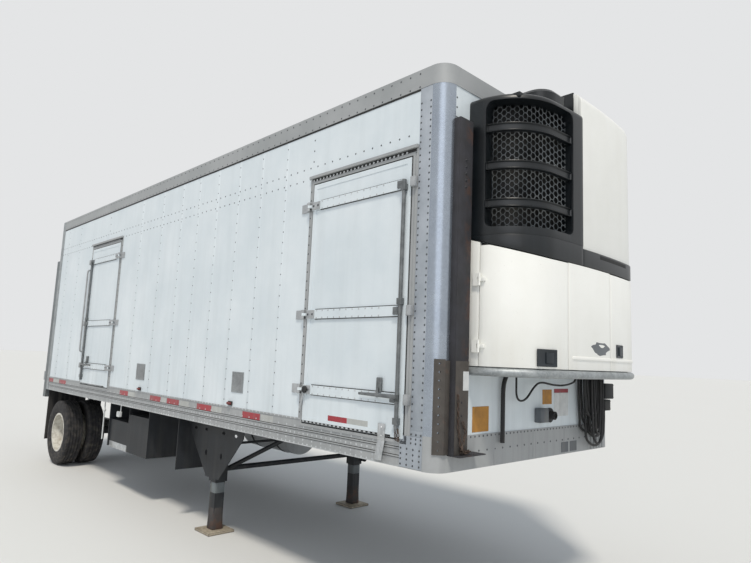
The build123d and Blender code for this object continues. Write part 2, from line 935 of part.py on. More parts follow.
with BuildPart() as tank_brackets:
    for back in tank_brackets_back:
        with BuildSketch(Plane.YZ.offset(front_x - back - tank_bracket / 2)):
            with Locations((tank_y, (tank_z + member_low) / 2)):
                Rectangle(1.4 * tank_radius, member_low - tank_z)
            with Locations((tank_y, tank_z)):
                Circle(tank_radius + tank_strap)
                Circle(tank_radius + pin_clearance, mode=Mode.SUBTRACT)
        extrude(amount=tank_bracket)
    for rail_y in (tank_y - 0.4 * tank_radius, tank_y + 0.4 * tank_radius):
        span_box(
            (front_x - tank_back[0], front_x - tank_back[1]),
            (rail_y - hanger_rail / 2, rail_y + hanger_rail / 2),
            (member_low - hanger_rail_depth, member_low),
        )
save(tank_brackets, "tank_brackets")

with BuildPart() as fuel_tank:
    rod((front_x - tank_back[0], tank_y, tank_z), (front_x - tank_back[1], tank_y, tank_z), tank_radius)
save(fuel_tank, "fuel_tank")


# Refrigeration unit: pieces cut from one bowed body
def unit_plan(inset):
    # Plan outline of the bowed body, this far inside its outer face
    reach = unit_reach - inset
    side_y = unit_half_width - inset
    shoulder_x, shoulder_y = unit_shoulder
    bow_radius = (shoulder_y**2 + (unit_reach - shoulder_x) ** 2) / (2 * (unit_reach - shoulder_x))
    bow_centre = unit_reach - bow_radius
    turn = atan2(shoulder_y, shoulder_x - bow_centre)
    # the corner arc meets the bow in line and ends on the side face
    away_x = shoulder_x - unit_side_depth
    away_y = unit_half_width - shoulder_y
    corner = (away_x**2 + away_y**2) / (2 * (away_x * cos(turn) - away_y * sin(turn)))
    corner_x = shoulder_x - corner * cos(turn)
    corner_y = shoulder_y - corner * sin(turn)
    end_angle = atan2(unit_half_width - corner_y, unit_side_depth - corner_x)
    bow = bow_radius - inset
    small = corner - inset
    side_end = corner_x + sqrt(small**2 - (side_y - corner_y) ** 2)

    def on_bow(angle, side):
        return (front_x + bow_centre + bow * cos(angle), side * bow * sin(angle))

    def on_corner(angle, side):
        return (front_x + corner_x + small * cos(angle), side * (corner_y + small * sin(angle)))

    middle = (turn + atan2(side_y - corner_y, side_end - corner_x)) / 2
    left, right = -1, 1
    with BuildSketch() as plan:
        with BuildLine():
            ThreePointArc(on_bow(turn, left), (front_x + reach, 0), on_bow(turn, right))
            for side in (left, right):
                ThreePointArc(
                    on_bow(turn, side), on_corner(middle, side), (front_x + side_end, side * side_y)
                )
                Line((front_x + side_end, side * side_y), (wall_face, side * side_y))
            Line((wall_face, -side_y), (wall_face, side_y))
        make_face()
    return plan.sketch


def unit_body(inset, low, high):
    # The bowed body between two heights, its upper front edge rounded
    top = unit_top - inset
    nose = unit_reach - inset
    radius = unit_top_radius - inset
    with BuildPart() as body:
        with BuildSketch(Plane.XY.offset(low)):
            add(unit_plan(inset))
        extrude(amount=high - low)
        with BuildSketch(Plane.XZ.offset(-unit_half_width - 1)):
            with BuildLine():
                Polyline(
                    (wall_face, top),
                    (wall_face, low),
                    (front_x + nose, low),
                    (front_x + nose, top - radius),
                )
                RadiusArc((front_x + nose, top - radius), (front_x + nose - radius, top), -radius)
                Line((front_x + nose - radius, top), (wall_face, top))
            make_face()
        extrude(amount=2 * unit_half_width + 2, mode=Mode.INTERSECT)
    return body.part


band_low = 2630
band_low_curb = 2790
band_high = 2850
grille_low = 2850
grille_high = 3780
grille_split = -240
lower_seam = 360
lower_bottom = unit_bottom

shell = unit_body(0, lower_bottom, unit_top) - unit_body(unit_panel, lower_bottom - 1, unit_top)
side_cut = unit_side_depth - 20
big = 3000


def between(solid, y, z, x=(side_cut, big)):
    # The part of a solid inside a box, made outside any open part
    middle = (front_x + sum(x) / 2, sum(y) / 2, sum(z) / 2)
    return solid & (Pos(*middle) * Box(x[1] - x[0], y[1] - y[0], z[1] - z[0]))


gap = unit_gap / 2
door_slots = between(
    shell, (-big, big), (lower_bottom - 1, band_low), (side_cut - unit_gap, side_cut + 1)
)
unit_pieces = {
    "unit_side_panels": between(shell, (-big, big), (lower_bottom, unit_top), (-rail_proud, side_cut))
    - door_slots,
    "unit_grille": between(shell, (-big, grille_split), (band_high, unit_top)),
    "unit_upper_panel": between(shell, (grille_split, big), (band_high, unit_top)),
    "unit_band": between(shell, (-big, big), (band_low, band_high)),
    "unit_centre_panel": between(shell, (gap - lower_seam, lower_seam - gap), (lower_bottom, band_low)),
}
for name, solid in unit_pieces.items():
    with BuildPart() as unit_piece:
        add(solid)
    save(unit_piece, name)

# Lower doors of the unit, hung at their outer edges
unit_pin_out = 12
unit_pin_ahead = 6
unit_pin_radius = 5
unit_barrel_radius = 9
unit_barrel = 30
unit_hinge_heights = (2010, 2480)
unit_hinge_plate = 40
unit_lug_reach = 40
unit_knuckle_gap = 1

unit_pin_x = front_x + side_cut + unit_pin_ahead
unit_pin_y = unit_half_width + unit_pin_out
doors_low = lower_bottom
doors_high = band_low - unit_gap

for side, name in ((-1, "unit_curb_door"), (1, "unit_street_door")):
    door_shell = between(shell, sorted((side * big, side * (lower_seam + gap))), (doors_low, doors_high))
    with BuildPart() as unit_door:
        add(door_shell)
        for height in unit_hinge_heights:
            low = height - unit_barrel / 2 + unit_knuckle_gap
            high = height + unit_barrel / 2 - unit_knuckle_gap
            span_box(
                (unit_pin_x, unit_pin_x + unit_lug_reach),
                (side * (unit_half_width - unit_panel / 2), side * unit_pin_y),
                (low, high),
            )
            rod((unit_pin_x, side * unit_pin_y, low), (unit_pin_x, side * unit_pin_y, high), unit_barrel_radius)
            rod(
                (unit_pin_x, side * unit_pin_y, height - unit_barrel),
                (unit_pin_x, side * unit_pin_y, height + unit_barrel),
                unit_pin_radius + pin_clearance,
                mode=Mode.SUBTRACT,
            )
    save(unit_door, name)

with BuildPart() as unit_hinges:
    for side in (-1, 1):
        pin = (unit_pin_x, side * unit_pin_y)
        plate_front = front_x + side_cut - unit_gap
        for height in unit_hinge_heights:
            span_box(
                (plate_front - unit_hinge_plate, plate_front),
                (side * unit_half_width, side * (unit_pin_y + unit_pin_radius)),
                (height - 1.5 * unit_barrel, height + 1.5 * unit_barrel),
            )
            rod((*pin, height - 1.5 * unit_barrel), (*pin, height + 1.5 * unit_barrel), unit_pin_radius)
            for low in (height - 1.5 * unit_barrel, height + 0.5 * unit_barrel):
                rod((*pin, low), (*pin, low + unit_barrel), unit_barrel_radius)
                span_box(
                    (plate_front, unit_pin_x),
                    (side * (unit_pin_y - unit_pin_radius), side * (unit_pin_y + unit_pin_radius)),
                    (low, low + unit_barrel),
                )
save(unit_hinges, "unit_hinges")

# Base pan and engine
pan_thickness = 20

pan = unit_body(unit_panel, lower_bottom, lower_bottom + pan_thickness)
pan_body = (
    unit_body(unit_panel + unit_gap, lower_bottom, lower_bottom + pan_thickness)
    + between(pan, (-big, big), (0, big), (-rail_proud, side_cut - unit_gap))
    + between(pan, (gap - lower_seam, lower_seam - gap), (0, big))
)
with BuildPart() as unit_base:
    add(pan_body)
save(unit_base, "unit_base")

with BuildPart() as unit_engine:
    span_box((wall_face, front_x + 300), (-450, 450), (lower_bottom + pan_thickness, 2450))
save(unit_engine, "unit_engine")
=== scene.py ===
import json
import math

import bpy
from mathutils import Matrix, Vector

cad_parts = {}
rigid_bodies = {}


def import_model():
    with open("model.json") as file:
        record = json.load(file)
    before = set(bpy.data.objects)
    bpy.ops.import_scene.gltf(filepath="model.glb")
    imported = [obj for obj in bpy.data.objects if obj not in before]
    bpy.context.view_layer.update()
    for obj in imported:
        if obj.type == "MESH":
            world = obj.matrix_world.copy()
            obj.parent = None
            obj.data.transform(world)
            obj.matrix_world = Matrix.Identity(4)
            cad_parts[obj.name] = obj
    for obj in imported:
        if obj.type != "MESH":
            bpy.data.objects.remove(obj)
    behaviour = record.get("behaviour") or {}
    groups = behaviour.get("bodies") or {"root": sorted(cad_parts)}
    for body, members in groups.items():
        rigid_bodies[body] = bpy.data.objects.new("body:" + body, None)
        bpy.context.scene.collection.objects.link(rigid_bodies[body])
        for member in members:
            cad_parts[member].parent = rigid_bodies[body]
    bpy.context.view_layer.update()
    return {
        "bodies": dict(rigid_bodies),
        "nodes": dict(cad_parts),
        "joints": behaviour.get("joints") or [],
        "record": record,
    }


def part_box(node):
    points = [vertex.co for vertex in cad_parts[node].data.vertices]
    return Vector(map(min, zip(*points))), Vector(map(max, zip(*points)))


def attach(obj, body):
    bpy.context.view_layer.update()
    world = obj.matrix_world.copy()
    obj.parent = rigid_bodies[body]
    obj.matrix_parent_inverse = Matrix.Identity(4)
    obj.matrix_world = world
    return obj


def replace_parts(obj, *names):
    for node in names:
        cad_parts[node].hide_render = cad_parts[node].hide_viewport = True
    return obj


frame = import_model()
nodes = frame["nodes"]
print("frame loaded:", len(nodes), "nodes")

# Planes of the trailer that many pieces are placed from, in metres
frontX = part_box("nose_rail")[1].x
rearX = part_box("rear_frame")[0].x
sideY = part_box("rear_frame")[1].y
railY = sideY - 0.005  # face of the bottom rails
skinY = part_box("street_wall")[1].y
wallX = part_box("front_wall")[1].x
axleX = sum(corner.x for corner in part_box("curb_hub")) / 2
axleZ = sum(corner.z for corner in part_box("curb_hub")) / 2

# Camera, found by fitting the box's edges in the photograph, in metres and degrees
photoView = {"place": (6.807, -4.390, 1.892), "heading": 136.12, "tilt": 7.49, "roll": 2.36, "lens": 28.16,
             "sensor": 36, "far": 300}


def placeCamera(view):
    data = bpy.data.cameras.new("photoCamera")
    data.sensor_width = view["sensor"]
    data.lens = view["lens"]
    data.clip_end = view["far"]
    camera = bpy.data.objects.new("photoCamera", data)
    bpy.context.scene.collection.objects.link(camera)
    turn = Matrix.Rotation(math.radians(view["heading"] - 90), 4, "Z")
    lift = Matrix.Rotation(math.radians(90 + view["tilt"]), 4, "X")
    roll = Matrix.Rotation(math.radians(view["roll"]), 4, "Z")
    camera.matrix_world = Matrix.Translation(view["place"]) @ turn @ lift @ roll
    bpy.context.scene.camera = camera


placeCamera(photoView)


# Materials: one function turns hex to linear, one adds a node
def linear(hexColour):
    channels = [int(hexColour[i:i + 2], 16) / 255 for i in (0, 2, 4)]
    return (*[c / 12.92 if c <= 0.04045 else ((c + 0.055) / 1.055) ** 2.4 for c in channels], 1)


def addNode(tree, kind, settings=None, links=None):
    node = tree.nodes.new("ShaderNode" + kind)
    for key, value in (settings or {}).items():
        if isinstance(key, int) or key in node.inputs:
            node.inputs[key].default_value = value
        else:
            setattr(node, key, value)
    for key, source in (links or {}).items():
        tree.links.new(source, node.inputs[key])
    return node


def newMaterial(name):
    material = bpy.data.materials.new(name)
    material.use_nodes = True
    tree = material.node_tree
    tree.nodes.clear()
    shader = addNode(tree, "BsdfPrincipled")
    addNode(tree, "OutputMaterial", links={"Surface": shader.outputs[0]})
    return material, tree, shader


def pattern(tree, place, millimetres, kind="TexNoise", **settings):
    # A texture whose features are this large, on Object coordinates in metres
    return addNode(tree, kind, {"Scale": 1000 / millimetres} | settings, {"Vector": place}).outputs


def masked(tree, source, low, high, most):
    # Turns a noise into patches: nothing under low, up to most over high
    reach = {"From Min": low, "From Max": high, "To Max": most}
    return addNode(tree, "MapRange", reach, {"Value": source}).outputs[0]


def reckoned(tree, operation, first, second, **settings):
    return addNode(tree, "Math", {"operation": operation} | settings, {0: first, 1: second}).outputs[0]


def laidOver(tree, colour, over, mask):
    return addNode(tree, "Mix", {"data_type": "RGBA", 7: linear(over)}, {0: mask, 6: colour}).outputs[2]


def weathered(name, look):
    # Clouds of two tones, rain streaks down the surface, grime towards the ground, specks and a fine grain
    material, tree, shader = newMaterial(name)
    place = addNode(tree, "TexCoord").outputs["Object"]
    axes = addNode(tree, "SeparateXYZ", links={0: place}).outputs
    clouds = pattern(tree, place, look["cloudSize"], Detail=6.0, Roughness=0.6)["Fac"]
    shade = addNode(tree, "ValToRGB", links={0: clouds})
    ends = shade.color_ramp.elements
    ends[0].position, ends[1].position = 0.35, 0.66
    ends[0].color, ends[1].color = linear(look["shadeColour"]), linear(look["colour"])
    colour = shade.outputs[0]

    if look.get("spangle"):  # crystals of a zinc coat, or water marks on a polished sheet
        cells = pattern(tree, place, look["spangle"], "TexVoronoi")["Color"]
        grey = addNode(tree, "SeparateColor", links={0: cells}).outputs[0]
        colour = laidOver(tree, colour, look["spangleColour"], masked(tree, grey, 0.35, 1.0, look["spangleAmount"]))

    stretched = addNode(tree, "Mapping", {"Scale": (1, 1, look["streakStretch"])}, {"Vector": place}).outputs[0]
    streaks = pattern(tree, stretched, look["streakSize"], Detail=5.0)["Fac"]
    low = masked(tree, axes["Z"], look["grimeTop"], look["grimeFoot"], look["grimeAmount"])
    amount = addNode(tree, "Math", {"operation": "ADD", 1: look["streakAmount"]}, {0: low}).outputs[0]
    grimeAndShade = reckoned(tree, "MULTIPLY", masked(tree, streaks, 0.45, 0.75, 1.0), amount, use_clamp=True)
    colour = laidOver(tree, colour, look["dirt"], grimeAndShade)

    specks = pattern(tree, place, look["speckSize"], Detail=3.0, Roughness=0.7)["Fac"]
    colour = laidOver(tree, colour, look["speck"], masked(tree, specks, 0.68, 0.76, look["speckAmount"]))
    if look.get("patchAmount"):  # larger worn or rusted patches
        patches = pattern(tree, place, look["patchSize"], Detail=8.0, Roughness=0.75)["Fac"]
        patchMask = masked(tree, patches, look["patchFrom"], look["patchFrom"] + 0.08, look["patchAmount"])
        if look.get("patchEdge"):  # rust only on one side of this line across
            patchMask = reckoned(tree, "MULTIPLY", patchMask, masked(tree, axes["Y"], *look["patchEdge"], 1.0))
        colour = laidOver(tree, colour, look["patch"], patchMask)

    spread = look["roughnessSpread"]
    span = {"To Min": look["roughness"] - spread, "To Max": look["roughness"] + spread}
    rough = addNode(tree, "MapRange", span, {"Value": clouds})
    grain = pattern(tree, place, look["grainSize"], Detail=4.0)["Fac"]
    depth = {"Strength": look["bump"], "Distance": look["bumpDepth"] / 1000}
    bump = addNode(tree, "Bump", depth, {"Height": grain})
    shader.inputs["Metallic"].default_value = look["metallic"]
    tree.links.new(colour, shader.inputs["Base Color"])
    tree.links.new(rough.outputs[0], shader.inputs["Roughness"])
    tree.links.new(bump.outputs[0], shader.inputs["Normal"])
    return material


plainLook = {
    # sizes and depths in millimetres, the grime's heights in metres
    "cloudSize": 700, "streakSize": 60, "streakStretch": 0.05, "streakAmount": 0.12, "grimeTop": 2.0,
    "grimeFoot": 1.0, "grimeAmount": 0.3, "speckSize": 14, "speckAmount": 0.3, "roughness": 0.5,
    "roughnessSpread": 0.08, "grainSize": 120, "bump": 0.2, "bumpDepth": 2, "metallic": 0.0, "colour": "D8DBDD",
    "shadeColour": "C4C9CC", "dirt": "77736C", "speck": "4A4038",
}
finishes = {
    # chalked white enamel on aluminium sheet: bluish white, dull, with faint grey runs and shallow dents
    "white_skin": ("enamelledAluminiumSheet", {"colour": "DEE5E9", "shadeColour": "D2DBE0", "dirt": "9AA2A4",
        "streakSize": 90, "streakAmount": 0.10, "grimeTop": 1.9, "grimeAmount": 0.25, "speckAmount": 0.18,
        "grainSize": 420, "bump": 0.35, "bumpDepth": 6, "roughness": 0.42}),
    # mill finish extrusion gone dull: grey, streaked, half metallic
    "grey_rail": ("dullExtrudedAluminium", {"colour": "A6A8A9", "shadeColour": "999C9D", "metallic": 0.12,
        "cloudSize": 500, "dirt": "77757A", "streakAmount": 0.05, "grainSize": 30, "bumpDepth": 1}),
    # polished stainless sheet with water marks: grey mottling under a sharp gloss, its blue cast a painted reflection
    # of the sky
    "polished_post": ("polishedStainlessSheet", {"colour": "A3ABB5", "shadeColour": "98A0AB", "metallic": 0.8,
        "roughness": 0.27, "roughnessSpread": 0.03, "cloudSize": 220, "spangle": 11, "spangleColour": "B4BFCC",
        "spangleAmount": 0.22, "grainSize": 40, "bump": 0.08, "dirt": "7A828C", "streakAmount": 0.06}),
    "door_hardware": ("castZincFittings", {"colour": "B2B5B7", "shadeColour": "9B9EA1", "metallic": 0.2,
        "cloudSize": 90, "dirt": "6A645C", "streakAmount": 0.14}),
    # chassis black gone grey with road dust, thicker towards the ground
    "black_frame": ("chassisBlackPaint", {"colour": "24282D", "shadeColour": "191C20", "dirt": "4C4A47",
        "grimeTop": 1.1, "grimeFoot": 0.1, "grimeAmount": 0.45, "cloudSize": 200, "roughness": 0.6,
        "patch": "5A4235", "patchSize": 90, "patchFrom": 0.66, "patchAmount": 0.5}),
    "floor_metal": ("ribbedMillAluminium", {"colour": "A9ACAE", "shadeColour": "888C8F", "metallic": 0.7,
        "cloudSize": 120}),
    "tyre_rubber": ("agedTyreRubber", {"colour": "2A2A2D", "shadeColour": "1E1E20", "dirt": "6F685F",
        "roughness": 0.86, "grimeTop": 1.2, "grimeFoot": 0.0, "grimeAmount": 0.45, "cloudSize": 90,
        "streakStretch": 1.0, "grainSize": 9}),
    # stove enamelled disc, chalky white with brake dust
    "wheel_white": ("stoveEnamelledWheel", {"colour": "E2E0D8", "shadeColour": "CAC7BC", "dirt": "7A6A55",
        "cloudSize": 70, "streakStretch": 1.0, "streakAmount": 0.3, "patch": "8A6A4C", "patchSize": 40,
        "patchFrom": 0.64, "patchAmount": 0.6}),
    "hub_iron": ("sandCastIron", {"colour": "4A4543", "shadeColour": "2E2A28", "dirt": "6A4B36",
        "roughness": 0.75, "cloudSize": 50, "grainSize": 5, "patch": "6E4630", "patchSize": 60,
        "patchFrom": 0.55, "patchAmount": 0.6}),
    "galvanised": ("hotDipGalvanised", {"colour": "A3A8AA", "shadeColour": "858B8E", "metallic": 0.6,
        "cloudSize": 90, "spangle": 14, "spangleColour": "BEC3C6", "spangleAmount": 0.35}),
    # injection moulded polymer, charcoal with a blue cast, dusty where rain dries
    "black_plastic": ("mouldedBlackPolymer", {"colour": "20282F", "shadeColour": "1A2127", "dirt": "3E474F",
        "cloudSize": 300, "streakAmount": 0.06, "speck": "7B8288", "speckSize": 7, "speckAmount": 0.35,
        "roughness": 0.36, "grainSize": 3, "bumpDepth": 0.3, "grimeTop": 4.0, "grimeFoot": 2.7,
        "grimeAmount": 0.12}),
    # gel coated panel, warm white, freckled with stone chips
    "white_plastic": ("gelCoatedPanel", {"colour": "F1F1ED", "shadeColour": "EAEAE5", "dirt": "C9C2B2",
        "roughness": 0.33, "streakSize": 140, "streakAmount": 0.05, "speck": "6B6258", "speckSize": 13,
        "speckAmount": 0.5, "grimeTop": 2.2, "grimeFoot": 1.8, "grimeAmount": 0.3, "bump": 0.05}),
    "rubber_flap": ("blackRubberSheet", {"colour": "222224", "shadeColour": "171718", "roughness": 0.8,
        "grainSize": 6}),
    "bare_steel": ("greasedBareSteel", {"colour": "5A534C", "shadeColour": "3A332D", "metallic": 0.7,
        "cloudSize": 20}),
    # hot rolled channel, mill scale gone to brown rust in drifts
    "rusty_steel": ("rustedRolledSteel", {"colour": "4E4A49", "shadeColour": "3A3838", "dirt": "2B2624",
        "roughness": 0.8, "cloudSize": 160, "patch": "5C4337", "patchSize": 260, "patchFrom": 0.48,
        "patchAmount": 0.75, "grainSize": 4, "streakAmount": 0.3, "grimeTop": 1.9}),
    "lamp_red": ("redLensAcrylic", {"colour": "7A1416", "shadeColour": "5C0E10", "roughness": 0.2,
        "cloudSize": 30}),
    "grey_plastic": ("mouldedGreyPolymer", {"colour": "6B7075", "shadeColour": "565B60", "roughness": 0.55,
        "grainSize": 4}),
    "hose_rubber": ("extrudedHoseRubber", {"colour": "202124", "shadeColour": "141517", "dirt": "5E5B57",
        "roughness": 0.6, "streakSize": 20, "cloudSize": 60, "grainSize": 5}),
}
trims = {
    # finishes of small pieces, each with the record's slot that it belongs to
    # dark heads: grime round the rivets, and painted shade that makes each head read as a dark dot
    "driven_rivet": ("drivenAluminiumRivet", "door_hardware", {"colour": "52575B", "shadeColour": "3B3F43",
        "metallic": 0.2}),
    "red_tape": ("redReflectiveFilm", "lamp_red", {"colour": "A32A36", "shadeColour": "8E2530",
        "roughness": 0.35, "spangle": 6, "spangleColour": "B84A50", "spangleAmount": 0.3}),
    "pale_tape": ("paleReflectiveFilm", "white_skin", {"colour": "B4B6B4", "shadeColour": "A4A6A4",
        "roughness": 0.35, "spangle": 6, "spangleColour": "CACABF", "spangleAmount": 0.3}),
    "amber_plate": ("amberEnamelPlate", "grey_plastic", {"colour": "B9822A", "shadeColour": "A06E20",
        "dirt": "6B4A1C", "streakAmount": 0.3, "cloudSize": 60}),
    # heads painted bright against the dull rail: painted highlights
    "painted_highlight": ("paintedHighlightMetal", "door_hardware", {"colour": "D2D5D7", "shadeColour": "A8ACAF",
        "metallic": 0.35, "roughness": 0.35}),
    # flat aluminium strips beside the corner, satin and paler than the rails
    "satin_strip": ("satinAluminiumStrip", "grey_rail", {"colour": "B4BAC2", "shadeColour": "9DA4AC",
        "metallic": 0.35, "dirt": "7E8388", "cloudSize": 240, "streakAmount": 0.12}),
    "dull_zinc": ("weatheredZincColumn", "galvanised", {"colour": "7E8588", "shadeColour": "666C6F",
        "metallic": 0.45, "dirt": "4A4844", "streakAmount": 0.3}),
    # the channel keeps its dark scale on the left and has rusted through on the right
    "rusted_post": ("rustedChannel", "rusty_steel", {"colour": "34343A", "shadeColour": "28282B",
        "dirt": "222021", "roughness": 0.72, "cloudSize": 110, "patch": "503629", "patchSize": 240,
        "patchFrom": 0.50, "patchAmount": 0.6, "patchEdge": (-1.130, -1.075), "grainSize": 4,
        "streakAmount": 0.25, "speck": "8C8178", "speckAmount": 0.15}),
    "angle_rust": ("rustedAngle", "black_frame", {"colour": "4E4A46", "shadeColour": "403C39", "dirt": "35302C",
        "roughness": 0.7, "cloudSize": 90, "patch": "5A473C", "patchSize": 120, "patchFrom": 0.56,
        "patchAmount": 0.4, "grainSize": 4, "streakAmount": 0.25}),
    # shoe plates scoured pale by the ground
    "dusty_shoe": ("scouredShoePlate", "galvanised", {"colour": "B9AF9C", "shadeColour": "8F8574",
        "dirt": "5E4A3A", "cloudSize": 60, "streakAmount": 0.3, "roughness": 0.7}),
    # lock tubes gone grey where hands and weather reach them
    "lock_grey": ("weatheredLockTube", "door_hardware", {"colour": "7C8082", "shadeColour": "5C6062",
        "metallic": 0.35, "roughness": 0.42, "dirt": "4A4540", "cloudSize": 60, "streakAmount": 0.2}),
    # moulded housing, nearly black, with the sheen of new polymer
    "grille_black": ("mouldedGrillePolymer", "black_plastic", {"colour": "12171B", "shadeColour": "0E1215",
        "dirt": "2A3137", "cloudSize": 300, "streakAmount": 0.06, "roughness": 0.33, "speck": "6B7278",
        "speckSize": 7, "speckAmount": 0.3, "grainSize": 3, "bumpDepth": 0.3, "grimeTop": 4.0, "grimeFoot": 2.7,
        "grimeAmount": 0.12}),
    # dusty expanded mesh: pale wires in front of the dark core
    "mesh_wire": ("dustyGrilleMesh", "black_plastic", {"colour": "8A8F92", "shadeColour": "5E6366",
        "cloudSize": 120, "roughness": 0.4}),
    # near black fins: painted shade inside the unit, behind the honeycomb
    "condenser_shade_black": ("paintedShadeFins", "black_plastic", {"colour": "0F1113", "shadeColour": "08090A",
        "roughness": 0.6, "speckAmount": 0.0, "grimeAmount": 0.0, "cloudSize": 50}),
    # dark strips: a dark slot in the band, and painted shadow under the top rails, beside the rail ribs, along the
    # door straps and along the door headers and feet
    "black_gap_and_shade": ("blackSealantAndPaintedShade", "hose_rubber", {"colour": "17191B", "shadeColour": "101113",
        "roughness": 0.7}),
    "white_plate": ("whiteEnamelPlate", "white_skin", {"colour": "D6D8D8", "shadeColour": "C6C9CA",
        "cloudSize": 60}),
    "header_red": ("redEnamelStrip", "lamp_red", {"colour": "9C3A44", "shadeColour": "86303A",
        "cloudSize": 60}),
    "chain_steel": ("rustedChainSteel", "rusty_steel", {"colour": "5B4A40", "shadeColour": "3A302B",
        "metallic": 0.4, "cloudSize": 12, "roughness": 0.7}),
    "seal_rubber": ("doorSealRubber", "hose_rubber", {"colour": "2B2D2F", "shadeColour": "1F2022",
        "roughness": 0.75}),
    "bright_zinc": ("brightZincPlate", "door_hardware", {"colour": "C9CCCE", "shadeColour": "A9ADB0",
        "metallic": 0.6, "roughness": 0.35, "cloudSize": 40}),
}
materials = {slot: weathered(name, plainLook | look) for slot, (name, look) in finishes.items()}
slotOf = {slot: slot for slot in finishes}
for key, (name, slot, look) in trims.items():
    materials[key] = weathered(name, plainLook | look)
    slotOf[key] = slot
finishOfNode = {
    "gate_columns": "dull_zinc", "unit_hinges": "white_plastic", "front_door_straps": "white_skin",
    "rear_door_straps": "white_skin", "front_door_lock_rod": "lock_grey", "rear_door_lock_rod": "lock_grey",
}
for part in frame["record"]["subparts"]:
    node = nodes[part["node"]]
    node.data.materials.clear()
    node.data.materials.append(materials[finishOfNode.get(part["node"], part["material_slot"])])
print("materials:", len(materials))


# Small tools for modelling, all on a clean selection
def onlySelect(*pieces):
    bpy.ops.object.select_all(action="DESELECT")
    for piece in pieces:
        piece.select_set(True)
    bpy.context.view_layer.objects.active = pieces[0]


def settle(piece):
    onlySelect(piece)
    bpy.ops.object.transform_apply(location=True, rotation=True, scale=True)
    return piece


def added(primitive, stretch=None, **settings):
    # One of Blender's basic forms, its transform applied
    bpy.ops.object.select_all(action="DESELECT")
    primitive(**settings)
    if stretch:
        bpy.context.object.scale = stretch
    return settle(bpy.context.object)


def modified(piece, kind, **settings):
    # Adds one modifier and applies it
    onlySelect(piece)
    modifier = piece.modifiers.new(kind.lower(), kind)
    for key, value in settings.items():
        setattr(modifier, key, value)
    bpy.ops.object.modifier_apply(modifier=modifier.name)
    return piece


def choose(piece, kind, items, test):
    # Leaves the piece in edit mode with the faces or edges that pass the test selected
    onlySelect(piece)
    bpy.ops.object.mode_set(mode="EDIT")
    bpy.ops.mesh.select_mode(type=kind)
    bpy.ops.mesh.select_all(action="DESELECT")
    bpy.ops.object.mode_set(mode="OBJECT")
    for item in items:
        item.select = test(item)
    bpy.ops.object.mode_set(mode="EDIT")


def chooseFaces(piece, test=lambda face: True):
    choose(piece, "FACE", piece.data.polygons, test)


def chooseEdges(piece, test):
    # Edges are tested by the places of their two ends
    points = piece.data.vertices
    choose(piece, "EDGE", piece.data.edges, lambda edge: test(*[points[end].co for end in edge.vertices]))


def chooseAll(piece, kind):
    onlySelect(piece)
    bpy.ops.object.mode_set(mode="EDIT")
    bpy.ops.mesh.select_mode(type=kind)
    bpy.ops.mesh.select_all(action="SELECT")


def editDone():
    bpy.ops.object.mode_set(mode="OBJECT")


def moveFaces(piece, test, move, rim=0.0):
    # Moves the chosen faces, after an inset if there is a rim
    chooseFaces(piece, test)
    if rim:
        bpy.ops.mesh.inset(thickness=rim)
    bpy.ops.transform.translate(value=move)
    editDone()
    return piece


def resizeFaces(piece, test, size, centre):
    chooseFaces(piece, test)
    bpy.ops.transform.resize(value=size, center_override=centre)
    editDone()
    return piece


def cleaned(piece, reach=0.0):
    # Merges points within reach of each other and turns the faces one way
    chooseFaces(piece)
    if reach:
        bpy.ops.mesh.remove_doubles(threshold=reach)
        bpy.ops.mesh.select_all(action="SELECT")
    bpy.ops.mesh.normals_make_consistent(inside=False)
    editDone()
    return piece


def facingForward(piece, reach=0.0):
    cleaned(piece, reach)
    if piece.data.polygons[0].normal.x < 0:
        chooseFaces(piece)
        bpy.ops.mesh.flip_normals()
        editDone()
    return piece


def addBlock(low, high, edge=0.002, segments=2):
    # A block between two corners with eased edges
    middle = [(a + b) / 2 for a, b in zip(low, high)]
    size = [abs(b - a) for a, b in zip(low, high)]
    block = added(bpy.ops.mesh.primitive_cube_add, size=1, location=middle, scale=size)
    chooseFaces(block)
    bpy.ops.mesh.bevel(offset=min(edge, 0.4 * min(size)), segments=segments, affect="EDGES")
    editDone()
    return block


def addRod(start, end, radius, sides=16, edge=0.001):
    # A turned bar between two points, its end edges eased
    start, end = Vector(start), Vector(end)
    rod = added(
        bpy.ops.mesh.primitive_cylinder_add, vertices=sides, radius=radius, depth=(end - start).length,
        location=(start + end) / 2, rotation=(end - start).to_track_quat("Z", "Y").to_euler(),
    )
    along = (end - start).normalized()
    chooseFaces(rod, lambda face: abs(face.normal.dot(along)) > 0.9)
    bpy.ops.mesh.inset(thickness=edge)
    editDone()
    for side in (1, -1):
        isEnd = lambda face: face.normal.dot(along) * side > 0.9 and len(face.vertices) == sides
        moveFaces(rod, isEnd, along * side * edge / 2)
    return rod


def copyOf(piece, shift=(0, 0, 0), turn=None):
    twin = piece.copy()
    twin.data = piece.data.copy()
    bpy.context.scene.collection.objects.link(twin)
    twin.matrix_world = Matrix.Translation(shift) @ (turn or Matrix.Identity(4)) @ twin.matrix_world
    return settle(twin)


def repeated(piece, *runs):
    # Each run is a step and a count
    for step, count in runs:
        if count > 1:
            modified(piece, "ARRAY", count=count, use_relative_offset=False, use_constant_offset=True,
                     constant_offset_displace=step)
    return piece


def joined(pieces):
    onlySelect(*pieces)
    if len(pieces) > 1:
        bpy.ops.object.join()
    return bpy.context.view_layer.objects.active


def finished(pieces, name, finish, body="trailer", smooth=35):
    # Joins, names, paints and hangs a piece on its body
    piece = settle(joined(pieces if isinstance(pieces, list) else [pieces]))
    piece.name = piece.data.name = name
    piece.data.materials.clear()
    piece.data.materials.append(materials[finish])
    for face in piece.data.polygons:
        face.material_index = 0
    onlySelect(piece)
    bpy.ops.object.shade_smooth_by_angle(angle=math.radians(smooth))
    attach(piece, body)
    return piece


